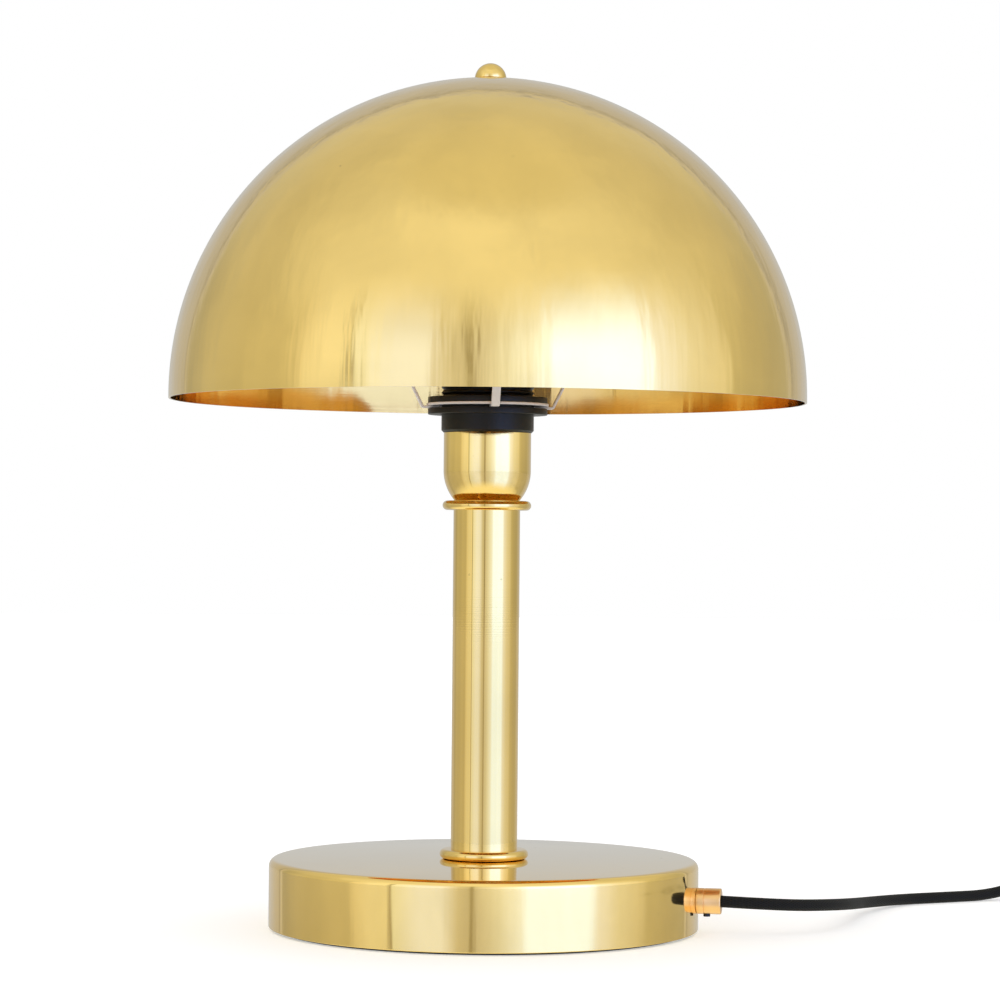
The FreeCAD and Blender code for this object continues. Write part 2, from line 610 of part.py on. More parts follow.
def make_cord_grip():
    """Turned clamp in the cover's side. It is drawn along X, and turned and lifted into place."""
    bore = "(cord_diameter / 2 + cord_clearance)"
    shoulder = "(base_radius + grip_gap)"
    end = "(base_radius + grip_length)"
    inner_end = "(base_radius - cover_wall - grip_thread_length)"
    groove = f"({shoulder} + grip_groove_place)"
    groove_floor = "grip_radius - grip_groove_depth"
    grip = turned("cord_grip", [
        (inner_end, bore), (end, bore), (end, "grip_radius"),
        (f"{groove} + grip_groove_width", "grip_radius"), (f"{groove} + grip_groove_width", groove_floor),
        (groove, groove_floor), (groove, "grip_radius"), (shoulder, "grip_radius"),
        (shoulder, "grip_thread_radius"), (inner_end, "grip_thread_radius"),
    ], axis="H_Axis")
    round_turned(grip, [("grip_radius", end)], "grip_round", "grip_edge", axis="X")
    screw_place = "(base_radius + grip_screw_place)"
    cut_round(grip, "XY_Plane", "0", [(screw_place, 0)], "grip_screw_radius + nut_fit",
              "grip_radius + 1", "grip_screw_hole")
    put(grip, z="grip_level", turn="grip_turn")

    nut = hexagon_nut("cord_grip_nut", "0", "grip_nut_height", "grip_nut_width", "grip_thread_radius + nut_fit")
    reach = value("base_radius - cover_wall - grip_gap - grip_nut_height - 0.6")
    lay = FreeCAD.Rotation(UP, value("grip_turn")) * FreeCAD.Rotation(Vector(0, 1, 0), 90)
    way = FreeCAD.Rotation(UP, value("grip_turn")).multVec(Vector(1, 0, 0))
    nut.Placement = FreeCAD.Placement(way * reach + UP * value("grip_level"), lay)

    length = f"(grip_radius + grip_screw_reach - {bore})"
    shank = solid("Cylinder", "grip_screw_shank", Radius="grip_screw_radius", Height=length)
    socket = solid("Prism", "grip_screw_socket", Circumradius="grip_socket_width / 2 / cos(30)",
                   Height="grip_socket_depth")
    socket.Polygon = 6
    screw = keep(joined("Cut", "cord_grip_screw", shank, socket))
    put(screw, f"{screw_place} * cos(grip_turn)", f"{screw_place} * sin(grip_turn)",
        "grip_level - grip_radius - grip_screw_reach")


# ---------------------------------------------------------------- stem

def make_collar(label, foot, up):
    """A round-edged collar with a spigot that centres the stem, above it or below it."""
    bore = "rod_radius + rod_clearance"
    spigot = "stem_radius - stem_wall - spigot_clearance"
    top = f"{foot} + collar_height"
    if up:
        outline = [(bore, foot), ("collar_radius", foot), ("collar_radius", top), (spigot, top),
                   (spigot, f"{top} + collar_spigot"), (bore, f"{top} + collar_spigot")]
    else:
        outline = [(bore, f"{foot} - collar_spigot"), (spigot, f"{foot} - collar_spigot"), (spigot, foot),
                   ("collar_radius", foot), ("collar_radius", top), (bore, top)]
    collar = turned(label, outline)
    round_turned(collar, [("collar_radius", foot), ("collar_radius", top)],
                 "min(collar_round; 0.49 * collar_height)", label + "_edges")


def make_stem():
    """Collars, stem tube, hollow rod, brass cup and the nut inside it."""
    make_collar("lower_collar", "base_height", up=True)
    ring("stem_tube", "stem_radius - stem_wall", "stem_radius", STEM_FOOT, STEM_TOP)
    make_collar("upper_collar", STEM_TOP, up=False)
    ring("threaded_rod", "rod_bore_radius", "rod_radius", ROD_FOOT, ROD_TOP)

    curve_top = f"({CUP_FOOT} + cup_curve_height)"
    inset = "(cup_radius - cup_curve_radius)"
    bore = "rod_radius + rod_clearance"
    turned("lampholder_cup", [
        (bore, CUP_FOOT),
        (f"{inset} + sqrt(cup_curve_radius^2 - cup_curve_height^2)", CUP_FOOT),
        ("cup_radius", curve_top, "left", "cup_curve_radius"),
        ("cup_radius", CUP_TOP), ("cup_radius - cup_wall", CUP_TOP), ("cup_radius - cup_wall", curve_top),
        (f"{inset} + sqrt((cup_curve_radius - cup_wall)^2 - (cup_curve_height - cup_wall)^2)", CUP_FLOOR,
         "right", "cup_curve_radius - cup_wall"),
        (bore, CUP_FLOOR),
    ])
    ring("cup_washer", bore, "washer_radius", CUP_FLOOR, f"{CUP_FLOOR} + washer_thickness")
    hexagon_nut("cup_nut", f"{CUP_FLOOR} + washer_thickness", "nut_height", "nut_width",
                "rod_radius + nut_fit")


# ---------------------------------------------------------------- lampholder

def make_lampholder():
    """Skirt with its thread, ceramic insert, screw shell, contacts and the two shade rings."""
    skirt = turned("lampholder_skirt", [
        ("skirt_neck_radius", INSERT_TOP), ("skirt_spigot_radius", INSERT_TOP),
        ("skirt_spigot_radius", CUP_TOP), ("skirt_radius", CUP_TOP), ("skirt_radius", SKIRT_TOP),
        ("skirt_bore_radius", SKIRT_TOP), ("skirt_bore_radius", f"{CUP_TOP} + skirt_floor"),
        ("skirt_neck_radius", f"{CUP_TOP} + skirt_floor"),
    ])
    round_turned(skirt, [("skirt_radius", CUP_TOP)], "skirt_chamfer", "skirt_bevel", kind="Chamfer")

    rim_reach = "(insert_radius - cup_radius + cup_curve_radius)"
    rim_foot = (f"({CUP_FOOT} + cup_curve_height + insert_clearance"
                f" - sqrt((cup_curve_radius - cup_wall)^2 - {rim_reach}^2))")
    turned("lampholder_insert", [
        (0, INSERT_UNDER), ("insert_radius - insert_wall", INSERT_UNDER),
        ("insert_radius - insert_wall", rim_foot), ("insert_radius", rim_foot),
        ("insert_radius", INSERT_TOP), ("insert_boss_radius", INSERT_TOP),
        ("insert_boss_radius", SHELL_FOOT), (0, SHELL_FOOT),
    ])
    turned("screw_shell", [
        ("shell_hole_radius", SHELL_FOOT), ("shell_radius + shell_wall", SHELL_FOOT),
        ("shell_radius + shell_wall", f"{SHELL_FOOT} + shell_height"),
        ("shell_radius", f"{SHELL_FOOT} + shell_height"), ("shell_radius", f"{SHELL_FOOT} + shell_wall"),
        ("shell_hole_radius", f"{SHELL_FOOT} + shell_wall"),
    ])

    contact = new_body("centre_contact")
    rise = f"({SHELL_FOOT} + contact_rise)"
    foot_top = f"({SHELL_FOOT} + contact_thickness)"
    add_pad(contact, "XZ_Plane", None, [
        ("-(contact_reach)", SHELL_FOOT), ("contact_reach", SHELL_FOOT), ("contact_reach", foot_top),
        ("-(contact_reach) + 2 * contact_thickness", foot_top),
        ("-(contact_reach) / 2", f"{rise} - contact_thickness"),
        ("contact_reach / 2", f"{rise} - contact_thickness"),
        ("contact_reach / 2", rise), ("-(contact_reach) / 2 - contact_thickness / 2", rise),
        ("-(contact_reach)", foot_top),
    ], "contact_width", "contact_leaf", middle=True)
    keep(contact)

    screws = []
    for number, side in enumerate(("", "-"), start=1):
        screw = headed_screw(f"terminal_screw_{number}", "terminal_head", "terminal_head_height",
                             "terminal_shank", "terminal_length")
        screws.append(put(screw, f"{side}(terminal_spread)", z=f"{INSERT_UNDER} - terminal_length"))
    group("terminal_screws", screws)

    for label, foot in (("lower_shade_ring", LOWER_RING), ("upper_shade_ring", UPPER_RING)):
        top = f"{foot} + shade_ring_height"
        clamp = ring(label, "skirt_radius + thread_clearance", "shade_ring_radius", foot, top)
        round_turned(clamp, [("shade_ring_radius", foot), ("shade_ring_radius", top)],
                     "shade_ring_round", label + "_edges")


def make_bulb():
    """Glass, cap, insulator and contact of the light bulb."""
    foot = BULB_FOOT
    inside = "(bulb_cap_radius - bulb_cap_wall)"
    ring("bulb_contact", 0, "bulb_contact_radius", foot, f"{foot} + bulb_contact_height")
    turned("bulb_insulator", [
        (0, f"{foot} + bulb_contact_height"), ("bulb_insulator_foot", f"{foot} + bulb_contact_height"),
        (f"{inside} - bulb_fit", f"{foot} + bulb_cap_foot"),
        (f"{inside} - bulb_fit", f"{foot} + bulb_cap_foot + 3"), (0, f"{foot} + bulb_cap_foot + 3"),
    ])
    ring("bulb_cap", inside, "bulb_cap_radius", f"{foot} + bulb_cap_foot", f"{foot} + bulb_cap_top")

    centre = f"({foot} + bulb_length - bulb_radius)"
    bore = "(bulb_radius - bulb_wall)"
    neck_foot = f"({foot} + bulb_cap_top + bulb_fit)"
    neck_top = (f"({centre} - bulb_radius * sin(bulb_shoulder)"
                " - (bulb_radius * cos(bulb_shoulder) - bulb_neck_radius) / tan(bulb_shoulder))")
    spigot = f"({inside} - bulb_fit)"
    turned("bulb_glass", [
        (f"{spigot} - bulb_wall", f"{neck_foot} - bulb_spigot"), (spigot, f"{neck_foot} - bulb_spigot"),
        (spigot, neck_foot), ("bulb_neck_radius", neck_foot), ("bulb_neck_radius", neck_top),
        ("bulb_radius * cos(bulb_shoulder)", f"{centre} - bulb_radius * sin(bulb_shoulder)"),
        (0, f"{centre} + bulb_radius", "left", "bulb_radius"),
        (0, f"{centre} + {bore}"),
        (f"{bore} * cos(bulb_shoulder)", f"{centre} - {bore} * sin(bulb_shoulder)", "right", bore),
        (f"{spigot} - bulb_wall", neck_top),
    ])


# ---------------------------------------------------------------- carrier and shade

def make_arm(number):
    """One flat strip: foot between the rings, slanting run, upright run and bend to the middle."""
    label = f"carrier_arm_{number}"
    foot = f"({ARM_FOOT} + strip_thickness / 2)"
    top = f"({HUB_FOOT} - strip_thickness / 2)"
    arm = new_body(label)
    path = sketch_on(arm, "XZ_Plane", label + "_path")
    draw(path, [
        ("carrier_foot_radius", foot), ("carrier_knee_radius", foot),
        ("carrier_radius", f"{foot} + carrier_rise"), ("carrier_radius", f"{top} - carrier_bend"),
        ("carrier_radius - carrier_bend", top, "left", "carrier_bend"), ("carrier_end_radius", top),
    ], closed=False)
    section = sketch_on(arm, "YZ_Plane", label + "_section", "carrier_foot_radius")
    draw(section, [
        ("-(strip_width) / 2", f"{foot} - strip_thickness / 2"),
        ("strip_width / 2", f"{foot} - strip_thickness / 2"),
        ("strip_width / 2", f"{foot} + strip_thickness / 2"),
        ("-(strip_width) / 2", f"{foot} + strip_thickness / 2"),
    ])
    strip = arm.newObject("PartDesign::AdditivePipe", label + "_strip")
    strip.Profile = section
    strip.Spine = (path, [""])
    strip.Transition = "Right corner"
    put(keep(arm), turn=f"arm_turn + {90 * (number - 1)}")


def make_carrier():
    """Ring, four arms, hub plate, stud and nut."""
    ring("carrier_ring", "carrier_foot_radius", "carrier_ring_radius", CARRIER_RING, UPPER_RING)
    for number in (1, 2, 3, 4):
        make_arm(number)
    hole = "stud_radius + stud_hole_clearance"
    ring("carrier_hub", hole, "hub_radius", HUB_FOOT, SEAT_FOOT)
    ring("carrier_stud", 0, "stud_radius", f"{CARRIER_NUT} - stud_tail", f"{DOME_TOP} + stud_reach")
    hexagon_nut("carrier_nut", CARRIER_NUT, "carrier_nut_height", "carrier_nut_width",
                "stud_radius + nut_fit")
    ring("shade_seat", hole, "seat_radius", SEAT_FOOT, SEAT_TOP)


def make_shade():
    """Half ball of spun sheet with a short straight band, its washer and the finial."""
    turned("shade", [
        ("shade_radius", f"{DOME_CENTRE} - shade_band"), ("shade_radius", DOME_CENTRE),
        ("shade_hole_radius", f"{DOME_CENTRE} + sqrt(shade_radius^2 - shade_hole_radius^2)",
         "left", "shade_radius"),
        ("shade_hole_radius", f"{DOME_CENTRE} + sqrt({DOME_BORE}^2 - shade_hole_radius^2)"),
        (DOME_BORE, DOME_CENTRE, "right", DOME_BORE), (DOME_BORE, f"{DOME_CENTRE} - shade_band"),
    ])
    ring("shade_washer", "stud_radius + stud_hole_clearance", "shade_washer_radius", DOME_TOP, FINIAL_FOOT)
    bore_top = f"{FINIAL_FOOT} + finial_bore_depth"
    turned("finial", [
        ("stud_radius + stud_clearance", FINIAL_FOOT), ("finial_radius", FINIAL_FOOT),
        (0, f"{FINIAL_FOOT} + finial_radius", "left", "finial_radius"), (0, bore_top),
        ("stud_radius + stud_clearance", bore_top),
    ])


# ---------------------------------------------------------------- cord

def corner_arc(start, corner, end):
    """Arc that leaves start towards corner and arrives at end from it, both as far from corner."""
    middle = (start + end) * 0.5
    reach = (corner - start).Length
    half_chord = (start - middle).Length
    depth = (corner - middle).Length
    radius = reach * half_chord / depth
    inward = (middle - corner).normalize()
    return Part.Arc(start, corner + inward * (radius * (reach / half_chord - 1)), end), radius


def rounded_route(points, bend=None):
    """Straight runs joined by tangent arcs, as large as the runs beside them allow or of radius bend."""
    edges = []
    radii = []
    last = points[0]
    for before, corner, after in zip(points, points[1:], points[2:]):
        way_in, way_out = corner - before, after - corner
        half_turn = way_in.getAngle(way_out) / 2
        back = 0.45 * min(way_in.Length, way_out.Length) if bend is None else bend * math.tan(half_turn)
        start = corner - way_in.normalize() * back
        end = corner + way_out.normalize() * back
        arc, radius = corner_arc(start, corner, end)
        edges += [Part.LineSegment(last, start).toShape(), arc.toShape()]
        radii.append(radius)
        last = end
    edges.append(Part.LineSegment(last, points[-1]).toShape())
    return edges, radii


def tube(label, edges, radius, radii=()):
    """One unbroken tube along the edges, set against its section times its length."""
    wire = Part.Wire(edges)
    first = edges[0]
    start = first.valueAt(first.FirstParameter)
    section = Part.Wire(Part.makeCircle(radius, start, first.tangentAt(first.FirstParameter)))
    piece = doc.addObject("Part::Feature", label)
    piece.Label = label
    piece.Shape = wire.makePipeShell([section], True, False)
    share = piece.Shape.Volume / (math.pi * radius**2 * wire.Length)
    bends = f", radii {min(radii):.1f} to {max(radii):.1f}" if radii else ""
    print(f"{label}: length {wire.Length:.1f}{bends}, volume {share:.5f} of section times length")
    if abs(share - 1) > 1e-3:
        raise ValueError(f"{label}: the tube's volume is wrong")
    return keep(piece)


def make_wiring():
    """Cable from the grip through the base and up the rod, and its two wires in the cup."""
    turn = FreeCAD.Rotation(UP, value("grip_turn"))
    level = value("lead_level")
    route = [
        Vector(value("base_radius + grip_length"), 0, value("grip_level")),
        Vector(value("lead_drop_place"), 0, value("grip_level")),
        Vector(value("lead_dip_place"), 0, level),
        Vector(0, 0, level),
        Vector(0, 0, value(LEAD_END)),
    ]
    edges, radii = rounded_route([turn.multVec(point) for point in route], value("lead_bend"))
    tube("inner_lead", edges, value("cord_diameter / 2"), radii)
    end = value(LEAD_END)
    top = value(f"{INSERT_UNDER} - terminal_length")
    for label, side in (("live_wire", 1), ("neutral_wire", -1)):
        near, far = side * value("wire_spread"), side * value("terminal_spread")
        bends = [Vector(near, 0, end), Vector(near, 0, end + (top - end) / 2),
                 Vector(far, 0, end + (top - end) / 2), Vector(far, 0, top)]
        bend = min(value("wire_bend"), (top - end) / 2 - 0.3)
        edges, radii = rounded_route(bends, bend)
        tube(label, edges, value("wire_radius"), radii)


def coil_point(turn):
    """Centre line of the coil after a number of turns: inwards below, up, and outwards above."""
    middle = value("coil_turns") / 2
    climb = 0.25
    away = abs(turn - middle)
    if away < climb:
        away = away**2 / (2 * climb) + climb / 2
    radius = value("coil_outer_radius") - value("coil_pitch") * (middle - away)
    share = min(max((turn - middle + climb) / (2 * climb), 0), 1)
    height = value("coil_lift + cord_diameter / 2") + value("coil_step") * share**2 * (3 - 2 * share)
    angle = -2 * math.pi * turn
    return Vector(value("coil_place_x") + radius * math.cos(angle),
                  value("coil_place_y") + radius * math.sin(angle), height)


def coil_way(turn):
    """Direction of the coil's centre line after a number of turns."""
    step = 1e-4
    return (coil_point(turn + step) - coil_point(turn - step)).normalize()


def make_coil():
    """Put-away cord as one tube: arcs in pairs over each quarter turn, and straight ends."""
    turns = value("coil_turns")
    diameter = value("cord_diameter")
    quarters = round(turns * 4)
    start, way_in = coil_point(0), coil_way(0)
    end, way_out = coil_point(turns), coil_way(turns)
    edges = [Part.LineSegment(start - way_in * diameter, start).toShape()]
    radii = []
    for quarter in range(quarters):
        near, far = quarter / 4, (quarter + 1) / 4
        first, second = coil_point(near), coil_point(far)
        leave, arrive = coil_way(near), coil_way(far)
        chord = second - first
        both = leave + arrive
        spread = 2 * (1 - leave.dot(arrive))
        along = chord.dot(both)
        reach = (math.sqrt(along**2 + spread * chord.dot(chord)) - along) / spread
        join = (first + second + (leave - arrive) * reach) * 0.5
        for begin, corner, finish in ((first, first + leave * reach, join),
                                      (join, second - arrive * reach, second)):
            arc, radius = corner_arc(begin, corner, finish)
            edges.append(arc.toShape())
            radii.append(radius)
    edges.append(Part.LineSegment(end, end + way_out * diameter).toShape())
    tube("cord_coil", edges, diameter / 2, radii)

    steps = 96
    points = [coil_point(step / steps) for step in range(round(turns * steps) + 1)]
    gap = min(one.distanceToPoint(other) for index, one in enumerate(points)
              for other in points[index + steps // 2:]) - diameter
    print(f"cord_coil: least gap to itself {gap:.2f}")
    return start - way_in * diameter, end + way_out * diameter


def make_tie():
    """Flat band round the coil's turns. It is drawn about the middle of the coil's section."""
    inner = "(coil_outer_radius - coil_pitch * coil_turns / 2)"
    wide = "(coil_pitch * coil_turns / 2 + cord_diameter + 2 * tie_gap)"
    high = "(coil_step + cord_diameter + 2 * tie_gap)"
    tie = new_body("coil_tie")
    add_pad(tie, "XZ_Plane", None, box_outline(f"{wide} + 2 * tie_thickness", f"{high} + 2 * tie_thickness"),
            "tie_width", "tie_band", middle=True)
    edges = [f"Edge{n}" for n, edge in enumerate(tie.Tip.Shape.Edges, start=1)
             if isinstance(edge.Curve, Part.Line) and abs(edge.tangentAt(edge.FirstParameter).y) > 0.999]
    finish_edges(tie, edges, "tie_round + tie_thickness", "tie_outer_corners", "Fillet")
    band = put(tie)
    hole = new_body("tie_space")
    add_pad(hole, "XZ_Plane", None, box_outline(wide, high), "tie_width + 2", "tie_opening", middle=True)
    edges = [f"Edge{n}" for n, edge in enumerate(hole.Tip.Shape.Edges, start=1)
             if isinstance(edge.Curve, Part.Line) and abs(edge.tangentAt(edge.FirstParameter).y) > 0.999]
    finish_edges(hole, edges, "tie_round", "tie_inner_corners", "Fillet")
    band.Label = "tie_blank"
    tie = keep(joined("Cut", "coil_tie_band", band, hole))
    tie.Label = "coil_tie"
    reach = f"({inner} + coil_pitch * coil_turns / 4)"
    put(tie, f"coil_place_x + {reach} * cos(tie_turn)", f"coil_place_y + {reach} * sin(tie_turn)",
        "coil_lift + cord_diameter / 2 + coil_step / 2", turn="tie_turn")


def make_cord():
    """The free cord: base to switch, switch to coil, the coil, and coil to plug."""
    radius = value("cord_diameter / 2")
    floor = radius
    way = FreeCAD.Rotation(UP, value("grip_turn")).multVec(Vector(1, 0, 0))
    leaving = way * value("base_radius + grip_length") + UP * value("grip_level")
    middle = value("switch_height / 2")
    side = value("switch_place_y")
    entry = Vector(value("switch_place_x - switch_length / 2"), side, middle)
    edges, radii = rounded_route([
        leaving,
        leaving + Vector(17.7, -3.1, -0.6),
        leaving + Vector(37.0, 2.1, -1.8),
        Vector(165.3, -1.0, 12.6),
        Vector(177.3, 28.7, 9.8),
        Vector(186.4, 71.7, 5.4),
        Vector(209.9, 112.0, floor),
        Vector(237.0, 125.0, floor),
        Vector(261.0, 137.0, floor),
        Vector(284.0, side, middle),
        entry,
    ])
    tube("cord_from_base", edges, radius, radii)

    coil_start, coil_end = make_coil()
    leaving = Vector(value("switch_place_x + switch_length / 2"), side, middle)
    edges, radii = rounded_route([
        leaving,
        Vector(389.0, side, middle),
        Vector(409.5, 132.7, 7.0),
        Vector(420.2, 109.1, coil_start.z),
        coil_start,
    ])
    tube("cord_to_coil", edges, radius, radii)

    sleeve = Vector(value("plug_place_x"), value("plug_place_y"), value("plug_height / 2"))
    edges, radii = rounded_route([
        coil_end,
        Vector(420.9, 55.0, coil_end.z - 0.6),
        Vector(422.6, 36.0, 6.2),
        Vector(424.0, 22.0, sleeve.z),
        sleeve,
    ])
    tube("cord_to_plug", edges, radius, radii)


# ---------------------------------------------------------------- switch and plug

def make_shell(label, foot, inner_foot, outer_level):
    """One half of the switch's case, hollowed from the parting plane."""
    half = "(switch_height / 2)"
    shell = new_body(label)
    add_pad(shell, "XY_Plane", foot, box_outline("switch_length", "switch_width"), half, label + "_block")
    round_upright(shell, "switch_corner", label + "_corners")
    round_level(shell, outer_level, "switch_round", label + "_edges")
    inside = box_outline("switch_length - 2 * switch_wall", "switch_width - 2 * switch_wall")
    cut_outline(shell, "XY_Plane", inner_foot, inside, f"{half} - switch_wall", label + "_inside",
                backwards=True)
    return shell


def make_switch():
    """Two shells, rocker, pin, brass blocks, contact leaf and screws. They are drawn about the middle."""
    half = "(switch_height / 2)"
    bosses = [("switch_boss_place", 0), ("-(switch_boss_place)", 0)]
    base = make_shell("switch_base", "0", "switch_wall", "0")
    add_round_pad(base, "switch_wall", bosses, "switch_boss_radius", f"{half} - switch_wall",
                  "switch_base_bosses")
    cut_round(base, "XY_Plane", half, bosses, "switch_screw_radius + nut_fit", half, "switch_base_holes")
    cut_round(base, "XY_Plane", "switch_screw_sink", bosses, "switch_screw_head + nut_fit",
              "switch_screw_sink", "switch_base_recesses")

    cover = make_shell("switch_cover", half, half, "switch_height")
    add_round_pad(cover, half, bosses, "switch_boss_radius", f"{half} - switch_wall", "switch_cover_bosses")
    cut_round(cover, "XY_Plane", half, bosses, "switch_screw_radius + nut_fit", f"{half} - 2 * switch_wall",
              "switch_cover_holes", backwards=True)
    window = box_outline("2 * (rocker_radius + rocker_gap)", "rocker_width + 2 * rocker_gap")
    cut_outline(cover, "XY_Plane", "switch_height", window, "2 * switch_wall", "switch_window")

    rocker = new_body("switch_rocker")
    top = "sqrt(rocker_radius^2 - rocker_shoulder^2)"
    foot = "sqrt(rocker_radius^2 - rocker_foot^2)"
    add_pad(rocker, "XZ_Plane", None, [
        (f"-({foot})", "-(rocker_foot)", "left", "rocker_radius"), (foot, "-(rocker_foot)"),
        (top, "rocker_shoulder", "left", "rocker_radius"), (0, "rocker_waist"),
        (f"-({top})", "rocker_shoulder"),
    ], "rocker_width", "rocker_block", middle=True)
    cut_round(rocker, "XZ_Plane", "-(rocker_width) / 2 - 1", [(0, 0)],
              "rocker_pin_radius + rocker_pin_clearance", "rocker_width + 2", "rocker_hole", backwards=True)

    pin = solid("Cylinder", "switch_pin", Radius="rocker_pin_radius",
                Height="switch_width - 2 * switch_wall - 2 * rocker_pin_gap")
    blocks = []
    for number, side in enumerate((1, -1), start=1):
        block = solid("Box", f"switch_block_{number}", Length="switch_block_length",
                      Width="switch_block_width", Height="switch_block_height")
        blocks.append(put(block, f"{side} * switch_block_place - switch_block_length / 2",
                          "-(switch_block_width) / 2", "switch_wall"))
    leaf = solid("Box", "switch_leaf", Height="switch_leaf_thickness", Width="switch_leaf_width",
                 Length="switch_block_place + switch_block_length / 2 + switch_leaf_overlap")
    screws = []
    for number, (x, y) in enumerate(bosses, start=1):
        screw = headed_screw(f"switch_screw_{number}", "switch_screw_head", "switch_screw_sink - 0.8",
                             "switch_screw_radius", "switch_screw_length")
        screws.append(put(screw, x, y, "0.8"))

    for piece in (base, cover, leaf, pin):
        keep(piece)
    keep(rocker)
    blocks = group("switch_blocks", blocks)
    screws = group("switch_screws", screws)
    for piece in (base, cover, blocks, screws):
        put(piece, "switch_place_x", "switch_place_y")
    put(leaf, "switch_place_x - switch_block_place - switch_block_length / 2",
        "switch_place_y - switch_leaf_width / 2", "switch_wall + switch_block_height")
    hinge = Vector(value("switch_place_x"), value("switch_place_y"), value("rocker_pin_level"))
    rocker.Placement = FreeCAD.Placement(hinge, FreeCAD.Rotation(Vector(0, 1, 0), value("rocker_tilt")))
    across = Vector(0, value("switch_width / 2 - switch_wall - rocker_pin_gap"), 0)
    pin.Placement = FreeCAD.Placement(hinge + across, FreeCAD.Rotation(Vector(1, 0, 0), 90))


def make_plug():
    """Flat two-pin plug that lies on the ground with its pins towards -Y."""
    body = new_body("plug_body")
    front, rear = "(plug_width / 2)", "(plug_rear_width / 2)"
    start = "plug_sleeve_length"
    add_pad(body, "XY_Plane", "0", [
        (start, f"-({rear})"), (f"{start} + plug_shoulder", f"-({front})"),
        (f"{start} + plug_length", f"-({front})"), (f"{start} + plug_length", front),
        (f"{start} + plug_shoulder", front), (start, rear),
    ], "plug_height", "plug_block")
    round_upright(body, "plug_corner", "plug_corners")
    round_level(body, "0", "plug_round", "plug_lower_edges")
    round_level(body, "plug_height", "plug_round", "plug_upper_edges")
    keep(body)

    sleeve = turned("plug_sleeve", [
        (0, 0), (start, 0), (start, "plug_sleeve_radius"), (0, "plug_sleeve_end"),
    ], axis="H_Axis")

    face = f"({start} + plug_length)"
    pins, covers = [], []
    for number, side in enumerate((1, -1), start=1):
        across = f"{side} * pin_spread / 2"
        core = solid("Cylinder", f"pin_core_{number}", Radius="pin_core_radius", Height="pin_sleeve_length")
        bare = solid("Cylinder", f"pin_bare_{number}", Radius="pin_radius",
                     Height="pin_length - pin_sleeve_length - pin_round")
        bare.setExpression("Placement.Base.z", bound("pin_sleeve_length"))
        tip = solid("Cone", f"pin_tip_{number}", Radius1="pin_radius", Radius2="pin_radius - pin_round / 2",
                    Height="pin_round")
        tip.setExpression("Placement.Base.z", bound("pin_length - pin_round"))
        shank = joined("Fuse", f"pin_shank_{number}", core, bare)
        pins.append((joined("Fuse", f"plug_pin_{number}", shank, tip), across))
        outer = solid("Cylinder", f"pin_cover_{number}", Radius="pin_sleeve_radius", Height="pin_sleeve_length")
        inner = solid("Cylinder", f"pin_space_{number}", Radius="pin_core_radius", Height="pin_sleeve_length")
        covers.append((joined("Cut", f"pin_sleeve_{number}", outer, inner), across))
    flat = FreeCAD.Rotation(Vector(0, 1, 0), 90)
    for piece, across in pins + covers:
        piece.Placement = FreeCAD.Placement(Vector(value(face), value(across), value("plug_height / 2")), flat)
    pins = group("plug_pins", [piece for piece, _ in pins])
    covers = group("pin_sleeves", [piece for piece, _ in covers])
    for piece in (body, pins, covers):
        put(piece, "plug_place_x", "plug_place_y", turn=-90)
    put(sleeve, "plug_place_x", "plug_place_y", "plug_height / 2", turn=-90)


make_base()
make_cord_grip()
make_stem()
make_lampholder()
make_bulb()
make_carrier()
make_shade()
make_wiring()
make_cord()
make_tie()
make_switch()
make_plug()
doc.recompute()

for item in doc.Objects:
    if "Invalid" in item.State or "Error" in item.State:
        raise ValueError(f"{item.Label}: {item.State}")
labels = [piece.Label for piece in nodes]
if len(set(labels)) != len(labels):
    raise ValueError("two sub-parts share a name")
for piece in nodes:
    if piece.Shape.isNull() or not piece.Shape.isValid() or not piece.Shape.Solids:
        raise ValueError(f"{piece.Label}: bad shape")

os.makedirs("parts", exist_ok=True)
for piece in nodes:
    piece.Shape.exportStep(f"parts/{piece.Label}.step")
print(len(nodes), "sub-parts written")
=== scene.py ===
"""Looks of a dome shade desk lamp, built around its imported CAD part."""

import math

import bpy
from bpy.props import FloatProperty, FloatVectorProperty, IntProperty, PointerProperty
from mathutils import Matrix, Vector


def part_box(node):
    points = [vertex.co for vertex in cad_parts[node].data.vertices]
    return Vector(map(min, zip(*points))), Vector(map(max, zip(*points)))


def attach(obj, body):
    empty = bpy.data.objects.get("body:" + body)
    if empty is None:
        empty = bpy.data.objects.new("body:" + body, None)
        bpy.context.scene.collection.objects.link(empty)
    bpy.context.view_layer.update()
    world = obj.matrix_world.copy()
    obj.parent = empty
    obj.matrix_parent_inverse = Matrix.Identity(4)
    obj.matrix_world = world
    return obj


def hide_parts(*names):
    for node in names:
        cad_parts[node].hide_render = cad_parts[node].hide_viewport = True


bl_info = {
    "name": "Dome shade desk lamp",
    "version": (1, 0, 0),
    "blender": (4, 5, 0),
    "location": "3D View > Sidebar > Lamp",
    "description": "Brass desk lamp with a half-ball shade, a textile cord, a switch and a plug",
    "category": "Object",
}

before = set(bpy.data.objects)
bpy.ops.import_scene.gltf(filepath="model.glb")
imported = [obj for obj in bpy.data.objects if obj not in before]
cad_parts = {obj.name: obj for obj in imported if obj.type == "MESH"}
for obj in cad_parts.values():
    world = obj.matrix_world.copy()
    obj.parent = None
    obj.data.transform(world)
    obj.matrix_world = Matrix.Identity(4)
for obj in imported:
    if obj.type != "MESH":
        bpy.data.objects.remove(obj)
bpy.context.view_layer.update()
MM = 0.001
UP = Vector((0, 0, 1))
SAME_PLACE = 1e-6  # metres within which two points become one
ROUNDING_STEP = 0.2  # radians that one step of a rounding turns
ROD_BORE = 5.25  # radius of the holes that the M10 rod goes through


